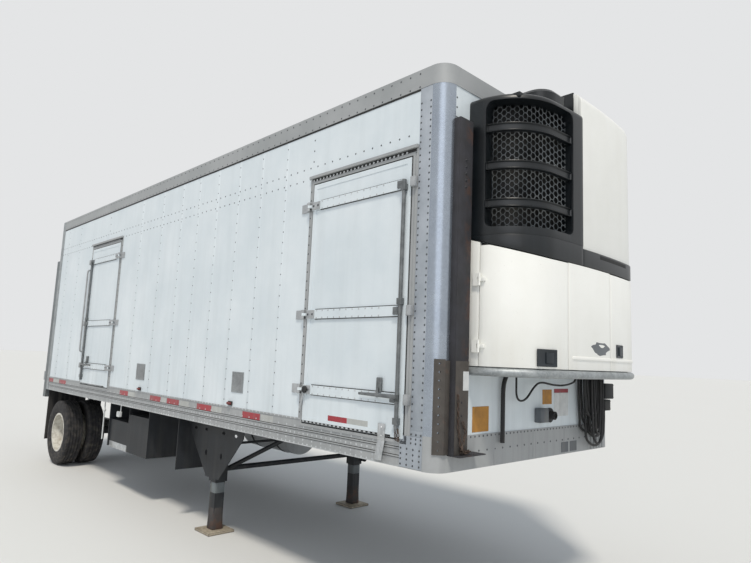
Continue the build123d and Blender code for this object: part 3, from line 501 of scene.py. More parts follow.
# Heads of rivets, bolts and screws: low domes, repeated along rows
rivetHead = {"radius": 0.0080, "taper": 0.6, "height": 0.0030, "crown": 0.0014, "sides": 8}
railHead = rivetHead | {"radius": 0.0095, "height": 0.0016, "crown": 0.0006, "sides": 6}
boltHead = rivetHead | {"radius": 0.011, "height": 0.006, "crown": 0.003, "sides": 6}
screwHead = rivetHead | {"radius": 0.004, "height": 0.0015, "crown": 0.0006}
capHead = boltHead | {"radius": 0.006, "height": 0.005, "crown": 0.002}


def addHead(place, normal, look):
    normal = Vector(normal)
    head = added(
        bpy.ops.mesh.primitive_cone_add, vertices=look["sides"], radius1=look["radius"],
        radius2=look["radius"] * look["taper"], depth=look["height"],
        location=Vector(place) + normal * look["height"] / 2, rotation=normal.to_track_quat("Z", "Y").to_euler(),
    )
    chooseFaces(head, lambda face: face.normal.dot(normal) > 0.9)
    bpy.ops.mesh.poke(offset=look["crown"])
    editDone()
    return head


def rivetRow(place, normal, *runs, look=rivetHead):
    return repeated(addHead(place, normal, look), *runs)


sideRivets = {
    # distances behind the front wall
    "curb": (1.92, 2.34, 2.77, 3.21, 3.64, 4.06, 4.59, 5.23, 7.70, 8.28), "overDoors": (1.51, 6.40),
    "street": (0.45, 0.88, 1.31, 1.74, 2.17, 2.60, 3.03, 3.46, 3.89, 4.32, 4.75, 5.18, 5.61, 6.04, 6.47, 6.90,
               7.33, 7.76, 8.19),
    "low": 1.43, "high": 3.88, "overDoor": 3.62, "overCount": 3, "step": 0.1, "start": 0.14, "ends": 0.35,
    "levelRows": (3.463, 3.567), "topRows": (3.925, 4.03), "topLength": 8.4,
    # level, how far behind the rail's outermost plane, step
    "railRows": ((1.163, 0.005, 0.06), (1.196, 0.005, 0.12), (1.245, 0.005, 0.06), (1.300, 0.005, 0.12),
                 (1.364, 0, 0.06)),
    "railStart": 0.04, "railLength": 8.3, "streetSunk": 0.0045,
}


def sideRow(side, place, step, count, look=rivetHead):
    # A row of heads on one side: place is along X, out from the middle and up
    x, out, level = place
    return rivetRow((x, side * out, level), (0, side, 0), (step, count), look=look)


def makeSideRivets(look):
    step, start = look["step"], rearX + look["start"]
    upright, level = (0, 0, step), (step, 0, 0)
    for side, name in ((-1, "curb"), (1, "street")):
        count = int((look["high"] - look["low"]) / step) + 1
        seams = [(back, look["low"], count) for back in look[name]]
        if side < 0:
            seams += [(back, look["overDoor"], look["overCount"]) for back in look["overDoors"]]
        rows = [sideRow(side, (frontX - back, skinY, low), upright, heads) for back, low, heads in seams]
        count = int((frontX - rearX - look["ends"]) / step)
        rows += [sideRow(side, (start, skinY, z), level, count) for z in look["levelRows"]]
        finished(rows, name + "Rivets", "driven_rivet")
        sunk = look["streetSunk"] if side > 0 else 0
        # heads on the bottom rails in bright paint, as painted highlights
        bright = [
            sideRow(side, (rearX + look["railStart"], sideY - (depth or sunk), z), (run, 0, 0),
                    int(look["railLength"] / run), railHead)
            for z, depth, run in look["railRows"]
        ]
        count = int(look["topLength"] / step)
        dark = [sideRow(side, (start, sideY - sunk, z), level, count) for z in look["topRows"]]
        finished(bright, name + "BottomRailRivets", "painted_highlight")
        finished(dark, name + "TopRailRivets", "driven_rivet")


makeSideRivets(sideRivets)
print("side rivets")

# Laps of the side sheets: a folded edge stands a millimetre proud under each row of rivets
sheetLaps = {"half": 0.017, "sunk": 0.001, "proud": 0.0012, "low": 1.372, "high": 3.908}


def makeSheetLaps(look):
    for side, name in ((-1, "curb"), (1, "street")):
        laps = [
            addBlock((frontX - back - look["half"], side * (skinY - look["sunk"]), look["low"]),
                     (frontX - back + look["half"], side * (skinY + look["proud"]), look["high"]), 0.001)
            for back in sideRivets[name]
        ]
        finished(laps, name + "SheetLaps", "white_skin")


makeSheetLaps(sheetLaps)

# Reflective film on the bottom rails, in red and pale lengths
railTape = {
    "Red": ((8.67, 8.35), (8.03, 7.69), (5.45, 5.18), (4.50, 4.21), (4.04, 3.74), (3.32, 3.01), (2.41, 2.11)),
    "Pale": ((8.33, 8.05), (5.17, 4.95), (4.19, 4.06), (3.72, 3.50), (2.99, 2.80), (2.09, 1.90)),
    "low": 1.285, "high": 1.345, "proud": 0.0006,
}


def makeTape(look):
    for side, sideName in ((-1, "curb"), (1, "street")):
        back = side * railY
        front = back + side * look["proud"]
        for tone in ("Red", "Pale"):
            strips = [
                addBlock((frontX - far, back, look["low"]), (frontX - near, front, look["high"]), 0.0002, 1)
                for far, near in look[tone]
            ]
            finished(strips, sideName + tone + "Tape", tone.lower() + "_tape")


makeTape(railTape)
doorTape = {"red": (-1.13, -0.90), "pale": (-0.898, -0.665), "low": 1.378, "high": 1.428, "proud": 0.0006}
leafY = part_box("front_door_leaf")[0].y + 0.004
for key in ("red", "pale"):
    x = [frontX + value for value in doorTape[key]]
    strip = addBlock((x[0], leafY, doorTape["low"]), (x[1], leafY - doorTape["proud"], doorTape["high"]), 0.0002, 1)
    finished(strip, key + "DoorTape", key + "_tape", "front_door")
print("tape")

# Painted highlight along the lower edge of each bottom rail, painted shadow beside its ribs, and painted shadow under
# each top rail
edgeLines = {"ends": (0.13, 0.33), "edgeHighlight": (1.1495, 1.158), "edgeHighlightProud": 0.0008,
             "ribs": (1.2125, 1.2275, 1.2695, 1.2845), "ribHalf": 0.0025, "ribProud": 0.0006,
             "railShadow": (3.894, 3.9095), "railShadowProud": 0.004, "railShadowEnd": 0.125}


def makeEdgeLines(look):
    start, end = rearX + look["ends"][0], frontX - look["ends"][1]
    for side, name in ((-1, "curb"), (1, "street")):
        out = side * railY
        # a bright strip along each rail's lower edge: painted highlight
        low, high = look["edgeHighlight"]
        edgeHighlight = addBlock((start, out, low), (end, out + side * look["edgeHighlightProud"], high), 0.0003, 1)
        finished(edgeHighlight, name + "PaintedEdgeHighlight", "painted_highlight")
        # dark strips beside each rib: painted shadow
        half, proud = look["ribHalf"], out + side * look["ribProud"]
        grimeAndShade = [addBlock((start, out, z - half), (end, proud, z + half), 0.0002, 1) for z in look["ribs"]]
        finished(grimeAndShade, name + "RibShadow", "black_gap_and_shade")
        # a dark strip on the wall under each top rail: painted shadow
        low, high = look["railShadow"]
        proud = side * (skinY + look["railShadowProud"])
        railShadow = addBlock((start, side * skinY, low), (frontX - look["railShadowEnd"], proud, high), 0.001, 1)
        finished(railShadow, name + "RailShadow", "black_gap_and_shade")


makeEdgeLines(edgeLines)

# Wall vents: a frame round a woven wire panel
sideVents = {"backs": ((4.97, 4.72), (2.64, 2.43)), "low": 1.51, "high": 1.71, "frame": 0.014, "proud": 0.006,
             "meshProud": 0.004, "wires": 16, "wire": 0.0035}


def makeVents(look):
    frames, meshes = [], []
    meshY = -skinY - look["meshProud"]
    low, high, frame = look["low"], look["high"], look["frame"]
    for far, near in look["backs"]:
        plate = addBlock((frontX - far, -skinY, low), (frontX - near, -skinY - look["proud"], high), 0.0015)
        isFront = lambda face: face.normal.y < -0.9 and face.area > 0.01
        frames.append(moveFaces(plate, isFront, (0, look["meshProud"], 0), frame))
        wires = added(
            bpy.ops.mesh.primitive_grid_add, (far - near - 2 * frame, high - low - 2 * frame, 1), size=1,
            x_subdivisions=look["wires"], y_subdivisions=look["wires"], rotation=(math.radians(90), 0, 0),
            location=(frontX - (far + near) / 2, meshY, (low + high) / 2),
        )
        meshes.append(modified(wires, "WIREFRAME", thickness=look["wire"]))
    finished(frames, "sideVentFrames", "galvanised")
    finished(meshes, "sideVentMeshes", "door_hardware")


makeVents(sideVents)
print("vents")

# Door trim: hinge plates with bolts, strap rivets, seal, and rivets round the frame
doorTrim = {
    "heights": (1.615, 2.245, 3.195), "strapHalf": 0.038, "strapThick": 0.010, "plate": (0.004, 0.105),
    "plateProud": 0.007, "plateEdge": 0.003, "bolt": 0.025, "boltStep": 0.06,
    "rivetGap": 0.03, "rivetEnd": 0.16, "rivetLift": 0.030, "rivetStep": 0.075,
    "grooveAndShadeHalf": (0.0035, 0.0004, 0.003), "shadeLineEnd": 0.08, "seal": 0.006, "sealDepth": (0.004, 0.034),
    "frame": 0.048, "frameProud": 0.004, "frameLow": 1.42, "frameStep": 0.08, "frameCount": 25,
    "dripShadows": ((3.446, 0.016), (3.420, 0.003)), "beadZ": 3.438, "beadStep": 0.045, "toothStep": 0.05,
}


def doorEnds(door):
    # The leaf's box, the way that its free edge lies along X, and its hinge's and free edge's places
    low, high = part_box(door + "_leaf")
    return (low, high, 1, low.x, high.x) if door == "front_door" else (low, high, -1, high.x, low.x)


def makeDoorTrim(door, look):
    low, high, away, hingeX, freeX = doorEnds(door)
    strapFace = low.y - look["strapThick"]
    plateFace = strapFace - look["plateProud"]
    near, far = [hingeX + away * length for length in look["plate"]]
    start = far + away * look["rivetGap"]
    count = int((abs(freeX - start) - look["rivetEnd"]) / look["rivetStep"])
    outward = (0, -1, 0)
    grooveAndShadeHalf, shallow, deep = look["grooveAndShadeHalf"]
    plates, bolts, rivets, groovesAndShadeLines = [], [], [], []
    for height in look["heights"]:
        half = look["strapHalf"] - look["plateEdge"]
        plates.append(addBlock((near, strapFace, height - half), (far, plateFace, height + half), look["plateEdge"]))
        bolts.append(rivetRow((hingeX + away * look["bolt"], plateFace, height), outward,
                              ((away * look["boltStep"], 0, 0), 2), look=boltHead))
        for side in (-1, 1):
            # strap rivets in bright paint, as painted highlights
            rivets.append(rivetRow((start, strapFace, height + side * look["rivetLift"]), outward,
                                   ((away * look["rivetStep"], 0, 0), count)))
            # a dark strip along each strap edge: painted shadow
            level = height + side * (look["strapHalf"] + look["plateEdge"])
            groovesAndShadeLines.append(addBlock((far, low.y - shallow, level - grooveAndShadeHalf),
                                    (freeX - away * look["shadeLineEnd"], low.y - deep, level + grooveAndShadeHalf), 0.001, 1))
    finished(plates, door + "HingePlates", "door_hardware", door)
    finished(bolts, door + "HingeBolts", "driven_rivet", door)
    finished(rivets, door + "StrapRivets", "painted_highlight", door)
    finished(groovesAndShadeLines, door + "StrapShadows", "black_gap_and_shade", door)

    width = look["seal"]
    front, back = [low.y + depth for depth in look["sealDepth"]]
    start, end = low.x - width, high.x + width
    seals = [addBlock((x0, front, z0), (x1, back, z1), 0.002) for x0, z0, x1, z1 in (
        (start, low.z - width, end, low.z), (start, high.z, end, high.z + width),
        (start, low.z, low.x, high.z), (high.x, low.z, end, high.z),
    )]
    finished(seals, door + "Seal", "seal_rubber", door)

    frameFace = -skinY - look["frameProud"]
    posts = [low.x - look["frame"]] + ([high.x + look["frame"]] if away < 0 else [])
    run = ((0, 0, look["frameStep"]), look["frameCount"])
    heads = [rivetRow((x, frameFace, look["frameLow"]), outward, run) for x in posts]
    finished(heads, door + "FrameRivets", "driven_rivet")
    # dark strips along the leaf's foot and under the header: painted shadow
    dripShadows = [addBlock((low.x, low.y + 0.002, low.z + 0.001), (high.x - 0.12, low.y - 0.001, low.z + 0.015), 0.001, 1)]
    start, end, front = low.x - 0.04, high.x + 0.04, frameFace - 0.0025
    dripShadows += [addBlock((start, frameFace, z - half), (end, front, z + half), 0.001, 1) for z, half in look["dripShadows"]]
    finished(dripShadows, door + "DripShadowLines", "black_gap_and_shade")
    # bright heads under the header and bright teeth along the leaf's foot: painted highlights
    step = look["beadStep"]
    beads = rivetRow((low.x - 0.02, frameFace - 0.002, look["beadZ"]), outward,
                     ((step, 0, 0), int((high.x - low.x + 0.05) / step)), look=rivetHead | {"radius": 0.011})
    step = look["toothStep"]
    tooth = addBlock((low.x + 0.01, low.y, low.z + 0.003), (low.x + 0.035, low.y - 0.0025, low.z + 0.013), 0.001, 1)
    teeth = repeated(tooth, ((step, 0, 0), int((high.x - low.x - 0.15) / step)))
    finished([beads, teeth], door + "DripHighlights", "painted_highlight")


for doorName in ("front_door", "rear_door"):
    makeDoorTrim(doorName, doorTrim)
print("door trim")

# Corner strips: two rows of rivets on each, and a cluster on the plate over the rail
cornerRivets = {"rows": (0.228, 0.137), "low": 1.44, "high": 3.88, "step": 0.05, "curbProud": 0.0045,
                "streetProud": 0.001, "wallY": 1.155, "wallLow": 1.42, "wallStep": 0.075, "wallCount": 33,
                # on the plate: back, up, step along, step up, heads each way
                "plateProud": 0.002, "plate": ((0.322, 1.175, 0.058, 0.036, 4), (0.228, 1.325, 0.045, 0.03, 3))}


def makeCornerRivets(look):
    heads = []
    upright = ((0, 0, look["step"]), int((look["high"] - look["low"]) / look["step"]))
    for side, proud in ((-1, look["curbProud"]), (1, look["streetProud"])):
        for back in look["rows"]:
            heads.append(rivetRow((frontX - back, side * (skinY + proud), look["low"]), (0, side, 0), upright))
    plateY = -sideY - look["plateProud"]
    for back, z, across, up, count in look["plate"]:
        heads.append(rivetRow((frontX - back, plateY, z), (0, -1, 0), ((across, 0, 0), count), ((0, 0, up), count)))
    for side in (-1, 1):
        heads.append(rivetRow((wallX, side * look["wallY"], look["wallLow"]), (1, 0, 0),
                              ((0, 0, look["wallStep"]), look["wallCount"])))
    finished(heads, "cornerRivets", "driven_rivet")


makeCornerRivets(cornerRivets)

# Rivets, laps and scuff ribs of the nose rail
noseTrim = {"rows": ((1.371, 0.05), (1.27, 0.1)), "halfWidth": 1.12, "seams": (-0.62, -0.08, 0.42, 0.86),
            "lap": (0.015, 1.152, 1.383), "ribs": (0.90, 0.055, 5), "rib": (0.025, 1.155, 1.44)}


def makeNoseTrim(look):
    half = look["halfWidth"]
    heads = []
    for z, step in look["rows"]:
        heads.append(rivetRow((frontX, -half, z), (1, 0, 0), ((0, step, 0), int(2 * half / step) + 1)))
    finished(heads, "noseRivets", "driven_rivet")
    back, (half, low, high) = frontX - 0.001, look["lap"]
    laps = [addBlock((back, y - half, low), (frontX + 0.0015, y + half, high), 0.001) for y in look["seams"]]
    finished(laps, "noseLaps", "grey_rail")
    (start, step, count), (width, low, high) = look["ribs"], look["rib"]
    rib = addBlock((back, start, low), (frontX + 0.009, start + width, high), 0.004)
    finished(repeated(rib, ((0, step, 0), count)), "noseScuffRibs", "grey_rail")


makeNoseTrim(noseTrim)
print("corner and nose")

# Blank plates on the front wall and the nose
frontPlates = (
    # name, finish, from y, to y, low, high, where it lies along X
    ("amberPlate", "amber_plate", -0.90, -0.70, 1.40, 1.58, wallX),
    ("smallAmberPlate", "amber_plate", 0.06, 0.21, 1.575, 1.695, wallX),
    ("whitePlate", "white_plate", 0.25, 0.49, 1.47, 1.665, wallX),
    ("plateHeader", "header_red", 0.25, 0.49, 1.667, 1.70, wallX),
    ("firstNosePlate", "grey_plastic", 0.36, 0.48, 1.165, 1.25, frontX),
    ("secondNosePlate", "grey_plastic", 0.51, 0.63, 1.165, 1.25, frontX),
    ("postPlate", "white_plate", -1.100, -1.036, 1.70, 1.830, frontX + 0.059),
)


def fourHeads(x, y0, y1, low, high, edge, look):
    # One head in each corner of a panel that faces forward
    return rivetRow((x, y0 + edge, low + edge), (1, 0, 0), ((0, y1 - y0 - 2 * edge, 0), 2),
                    ((0, 0, high - low - 2 * edge), 2), look=look)


def makeFrontPlates(plates):
    for name, finish, y0, y1, low, high, face in plates:
        plate = addBlock((face, y0, low), (face + 0.0022, y1, high), 0.0008, 1)
        moveFaces(plate, lambda item: item.normal.x > 0.9 and item.area > 0.002, (-0.0006, 0, 0), 0.006)
        finished([plate, fourHeads(face + 0.002, y0, y1, low, high, 0.01, screwHead)], name, finish)


makeFrontPlates(frontPlates)
print("plates")

# Chains: one bent link, copied along a line of points and turned a quarter each time
chainLink = {"length": 0.036, "width": 0.022, "wire": 0.0035}


def addLink(look):
    wire = look["wire"]
    link = added(bpy.ops.mesh.primitive_torus_add, major_radius=look["width"] / 2 - wire, minor_radius=wire,
                 major_segments=12, minor_segments=6)
    stretch = (look["length"] - look["width"]) / 2
    for side in (-1, 1):
        moveFaces(link, lambda face: face.center.x * side > 0.0005, (side * stretch, 0, 0))
    return link


def makeChain(name, points, look, body="trailer"):
    template = addLink(look)
    pitch = look["length"] - 2 * look["wire"]
    links = []
    route = [Vector(point) for point in points]
    left = 0.0
    for start, end in zip(route, route[1:]):
        along = end - start
        lie = along.to_track_quat("X", "Z").to_matrix().to_4x4()
        distance = left
        while distance < along.length:
            quarter = Matrix.Rotation(math.radians(90 * (len(links) % 2)), 4, "X")
            links.append(copyOf(template, start + along.normalized() * distance, lie @ quarter))
            distance += pitch
        left = distance - along.length
    bpy.data.objects.remove(template)
    return finished(links, name, "chain_steel", body)


# The first chain lies heaped on the shelf of the channel post, in front of its face
postX = frontX + 0.056
postChain = (
    (0.012, -1.16, 1.66), (0.014, -1.155, 1.45), (0.02, -1.13, 1.32), (0.03, -1.09, 1.284), (0.02, -1.03, 1.29),
    (0.035, -1.07, 1.30), (0.015, -1.12, 1.29), (0.035, -1.14, 1.31), (0.02, -1.08, 1.42), (0.012, -1.11, 1.50),
)
makeChain("postChain", [(postX + out, y, z) for out, y, z in postChain], chainLink)
doorChain = ((0, -1.324, 1.42), (0.01, -1.324, 1.34), (0.035, -1.322, 1.33), (0.03, -1.324, 1.40))
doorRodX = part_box("front_door_lock_rod")[1].x - 0.028
makeChain("doorChain", [(doorRodX + ahead, y, z) for ahead, y, z in doorChain], chainLink, "front_door")
print("chains")

# Unit on the front wall. In plan its face is a wide bow between two corner arcs: each piece that follows the face is
# modelled flat, with X as its depth, Y as the length along the face and Z as height, and is then bent onto the face.
unitFace = {
    "reach": 0.512, "shoulder": (0.485, 0.615), "halfWidth": 1.0, "skin": 0.030, "slice": 0.035, "gap": 0.004,
    "low": 1.870, "band": 2.650, "knee": 0.480, "slope": 0.28, "bandTopCurb": 2.800, "bandTopStreet": 2.780,
    "top": 4.052, "topRadius": 0.100, "grilleTop": 3.850, "grilleRadius": 0.045, "split": -0.240, "wallEnd": -0.006,
    "seams": (-0.450, 0.210), "doorStart": 0.110, "sideEnd": 0.104, "surround": 0.206, "whiteInset": 0.012,
    "bead": (1.944, 1.968), "beadStart": -0.40, "beadEnd": 0.300, "doorKnee": 0.180, "roofRun": 0.30,
    "hinges": (2.010, 2.480), "hingePin": (0.116, 1.012), "hingeHalf": 0.014,
    "slot": ((0.030, 2.738), (0.560, 2.768)),
    # the lid behind the surround, the walls beside the grille and the white roof
    "lid": (0.03, 0.90), "endWall": (0.430, 0.015), "whiteWall": (0.432, 0.470), "whiteRoof": (0.30, 0.80),
}


def faceArcs(look):
    # Radius and turn of the bow, radius and centre of the corner arc
    rise = look["reach"] - look["shoulder"][0]
    bow = (look["shoulder"][1] ** 2 + rise ** 2) / (2 * rise)
    turn = math.asin(look["shoulder"][1] / bow)
    corner = (look["halfWidth"] - look["shoulder"][1]) / (1 - math.sin(turn))
    return bow, turn, corner, look["shoulder"][0] - corner * math.cos(turn), look["halfWidth"] - corner


bowRadius, bowTurn, cornerArc, cornerX, cornerY = faceArcs(unitFace)


def facePoint(along):
    # The point and the outward direction at a length along the face, from its middle
    side = math.copysign(1, along)
    length = abs(along)
    if length <= bowRadius * bowTurn:
        angle = length / bowRadius
        x, y = unitFace["reach"] - bowRadius + bowRadius * math.cos(angle), bowRadius * math.sin(angle)
    else:
        angle = min(math.pi / 2, bowTurn + (length - bowRadius * bowTurn) / cornerArc)
        x, y = cornerX + cornerArc * math.cos(angle), cornerY + cornerArc * math.sin(angle)
        x -= max(0, length - bowRadius * bowTurn - cornerArc * (math.pi / 2 - bowTurn))
    return frontX + x, side * y, math.cos(angle), side * math.sin(angle)


def alongAtY(y):
    return math.copysign(bowRadius * math.asin(abs(y) / bowRadius), y)


def alongAtX(x):
    # Length along the face where it is this far ahead of the wall, on the street side
    if x < cornerX:
        return bowRadius * bowTurn + cornerArc * (math.pi / 2 - bowTurn) + cornerX - x
    return bowRadius * bowTurn + cornerArc * (math.acos((x - cornerX) / cornerArc) - bowTurn)


wallAlong, splitAlong = alongAtX(unitFace["wallEnd"]), alongAtY(unitFace["split"])


def bendOntoFace(piece, top=None, radius=0.0, rise=None):
    # Over the top edge the height goes on round its radius; rise lifts the pieces' edges along the band's slope
    for vertex in piece.data.vertices:
        depth, along, height = vertex.co
        x, y, outX, outY = facePoint(along)
        inset, z = -depth, height
        if top and height > top - radius:
            over = height - top + radius
            turn = min(math.pi / 2, over / radius)
            inset = radius - (radius + depth) * math.cos(turn) + max(0, over - radius * math.pi / 2)
            z = top - radius + (radius + depth) * math.sin(turn)
        x, y = x - inset * outX, y - inset * outY
        if rise:
            share = max(0, min(1, (height - rise[0]) / (rise[1] - rise[0])))
            ahead = max(rise[2], x - frontX)
            z += share * unitFace["slope"] * max(0, unitFace["knee"] - ahead)
        vertex.co = (x, y, z)
    return piece


def sliced(piece, step=unitFace["slice"], levels=()):
    # Cuts a flat piece across, so that it can bend
    low = min(vertex.co.y for vertex in piece.data.vertices)
    high = max(vertex.co.y for vertex in piece.data.vertices)
    count = int((high - low) / step)
    onlySelect(piece)
    bpy.ops.object.mode_set(mode="EDIT")
    for index in range(1, count + 1):
        bpy.ops.mesh.select_all(action="SELECT")
        bpy.ops.mesh.bisect(plane_co=(0, low + (high - low) * index / (count + 1), 0), plane_no=(0, 1, 0))
    for level in levels:
        bpy.ops.mesh.select_all(action="SELECT")
        bpy.ops.mesh.bisect(plane_co=(0, 0, level), plane_no=(0, 0, 1))
    editDone()
    return piece


def bent(piece, step=unitFace["slice"]):
    return bendOntoFace(sliced(piece, step))


def addSheet(along, height, depth=0.0):
    return added(
        bpy.ops.mesh.primitive_plane_add, (abs(height[1] - height[0]), abs(along[1] - along[0]), 1), size=1,
        location=(depth, sum(along) / 2, sum(height) / 2), rotation=(0, math.radians(90), 0),
    )


def thickened(piece, thickness, edge=0.003):
    modified(piece, "SOLIDIFY", thickness=thickness, offset=-1, use_even_offset=True)
    if edge:
        modified(piece, "BEVEL", width=edge, segments=2, limit_method="ANGLE", angle_limit=math.radians(50))
    return piece


def topLevels(top, radius, roof):
    # Heights to slice at, so that the top edge turns in steps, and how high the flat sheet is with its roof
    quarter = radius * math.pi / 2
    return [top - radius + quarter * step / 6 for step in range(7)], top - radius + quarter + roof


def addPanel(along, height, top=None, radius=0.0, roof=0.0, rise=None, depth=0.0):
    levels, high = topLevels(top, radius, roof) if top else ((), height[1])
    sheet = sliced(addSheet(along, (height[0], high), depth), levels=levels)
    return thickened(bendOntoFace(sheet, top, radius, rise), unitFace["skin"])


def roundedLoop(along, height, radius, depth=0.0):
    # A flat face with rounded corners
    face = addSheet(along, height, depth)
    chooseAll(face, "VERT")
    bpy.ops.mesh.bevel(offset=radius, segments=8, affect="VERTICES")
    editDone()
    return face


def holed(outer, inner):
    # The sheet between two outlines
    sheet = joined([outer, inner])
    chooseAll(sheet, "EDGE")
    bpy.ops.mesh.delete(type="ONLY_FACE")
    bpy.ops.mesh.select_all(action="SELECT")
    bpy.ops.mesh.bridge_edge_loops()
    editDone()
    return sheet


def addBead(start, end, look):
    # The raised line across the panels
    low, high = look["bead"]
    return bent(addBlock((-0.004, start, low), (0.008, end, high), 0.007, 3))


def makeUnitPanels(look):
    doorEnd, sideEnd, surround = alongAtX(look["doorStart"]), alongAtX(look["sideEnd"]), alongAtX(look["surround"])
    curbSeam, streetSeam = [alongAtY(seam) for seam in look["seams"]]
    low, band, gap = look["low"], look["band"], look["gap"]
    rise = (low, band, -1)
    sides = [addPanel((side * wallAlong, side * sideEnd), (low, band - gap), rise=rise) for side in (-1, 1)]
    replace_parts(finished(sides, "unitLowerSides", "white_plastic"), "unit_side_panels")
    centre = [addPanel((curbSeam + gap, streetSeam - gap), (low, band - gap)),
              addBead(alongAtY(look["beadStart"]), streetSeam - gap, look)]
    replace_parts(finished(centre, "unitCentreFace", "white_plastic"), "unit_centre_panel")
    pinX, pinY, half = frontX + look["hingePin"][0], look["hingePin"][1], look["hingeHalf"]
    height, rise = (low, band - 2 * gap), (low, band - 2 * gap, look["doorKnee"])
    for side, seam, name in ((-1, curbSeam, "curb"), (1, streetSeam, "street")):
        body = "unit_" + name + "_door"
        pieces = [addPanel(sorted((seam + side * gap, side * doorEnd)), height, rise=rise)]
        if side > 0:
            pieces.append(addBead(seam + gap, alongAtX(look["beadEnd"]), look))
        y = side * pinY
        for z in look["hinges"]:
            pieces.append(addBlock((pinX, y - side * 0.032, z - half), (pinX + 0.040, y, z + half), 0.002))
            pieces.append(addRod((pinX, y, z - half), (pinX, y, z + half), 0.0092, 16))
        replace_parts(finished(pieces, "unit" + name.title() + "DoorSkin", "white_plastic", body), body)

    # the black band, the surround at the street side and the dark end wall beside the grille
    split, top, (thick, lidY), (wallReach, wallThick) = look["split"], look["top"], look["lid"], look["endWall"]
    curbTop, streetTop, foot = look["bandTopCurb"], look["bandTopStreet"], look["grilleTop"] - thick
    rise = (streetTop, band, -1)
    edge = frontX + look["surround"]
    radius, run = look["topRadius"], look["roofRun"]
    pieces = [
        addPanel((-wallAlong, splitAlong), (band, curbTop), rise=rise),
        addPanel((splitAlong, wallAlong), (band, streetTop), rise=rise),
        addPanel((surround, wallAlong), (streetTop, 0), top, radius, run),
        addBlock((wallX, split, top - thick), (edge, lidY, top), 0.003),
        addBlock((wallX, split, foot), (frontX + wallReach, split + wallThick, top - 0.001), 0.003),
    ]
    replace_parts(finished(pieces, "unitBandAndSurround", "grille_black"), "unit_band")
    slotStart, slotEnd = look["slot"]
    finished(bent(addBlock((-0.002, *slotStart), (0.0006, *slotEnd), 0.001)), "unitBandSlot", "black_gap_and_shade")
    surround = alongAtX(look["surround"] + 0.002)
    (start, end), (reach, roofY) = look["whiteWall"], look["whiteRoof"]
    pieces = [
        addPanel((splitAlong, surround), (streetTop, 0), top, radius, run, depth=-look["whiteInset"]),
        addBlock((frontX + start, split, foot), (frontX + end, split + wallThick, top - thick), 0.003),
        addBlock((edge, split + 0.004, top - 0.04), (frontX + reach, roofY, top - 0.013), 0.003),
    ]
    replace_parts(finished(pieces, "unitUpperFace", "white_plastic"), "unit_upper_panel")


makeUnitPanels(unitFace)
print("unit panels")

# Grille housing: a deep frame round a window, three hollow louvres, honeycomb mesh and a cap on top
unitGrille = {
    "window": (0.135, -0.380), "windowZ": (2.856, 3.800), "cornerRadius": 0.060, "returnWall": 0.012,
    "returnDepth": 0.100, "roofRun": 0.34, "roof": (0.36, -0.90), "roofZ": (0.035, 0.002),
    "louvreTops": (3.630, 3.345, 3.065), "louvreHeight": 0.062, "louvreInset": 0.014, "louvreDepth": 0.042,
    "louvreLip": 0.009, "louvreHollow": 0.012, "cell": 0.050, "wire": 0.0038, "wireDepth": 0.004, "rows": 19,
    "folds": ((-0.882, 0.115), (-0.785, 0.112), (-0.610, 0.095), (-0.368, 0.066)),
    "cap": (-0.640, -0.320), "capReach": 0.420, "capTop": 3.980, "capRadii": (0.150, 0.060), "capRim": 0.022,
    "capDrop": 0.026,
}
window = (-alongAtX(unitGrille["window"][0]), alongAtY(unitGrille["window"][1]))


def makeCap(look):
    # A rounded box whose top has a lowered rim
    (low, high), (wide, tight) = look["cap"], look["capRadii"]
    foot, head, front = unitFace["grilleTop"] - 0.02, look["capTop"], frontX + look["capReach"]
    cap = added(bpy.ops.mesh.primitive_cube_add, size=1, scale=(front - wallX, high - low, head - foot),
                location=((wallX + front) / 2, (low + high) / 2, (foot + head) / 2))
    for edgeY, radius in ((low, wide), (high, tight)):
        chooseEdges(cap, lambda a, b: abs(a.z - b.z) > 0.05 and abs(a.x - front) < 0.001 and abs(a.y - edgeY) < 0.001)
        bpy.ops.mesh.bevel(offset=radius, segments=8, affect="EDGES")
        editDone()
    chooseFaces(cap, lambda face: face.normal.z > 0.9)
    bpy.ops.mesh.inset(thickness=look["capRim"])
    editDone()
    arc = Vector((front - wide, low + wide, head))
    for vertex in cap.data.vertices:
        x, y, z = vertex.co
        onEdge = abs(y - low) < 0.001 or abs(y - high) < 0.001 or x > front - 0.001
        onArc = x > arc.x and y < arc.y and (vertex.co - arc).length > wide - 0.001
        if z > head - 0.001 and (onEdge or onArc):
            vertex.co.z -= look["capDrop"]
    return cap


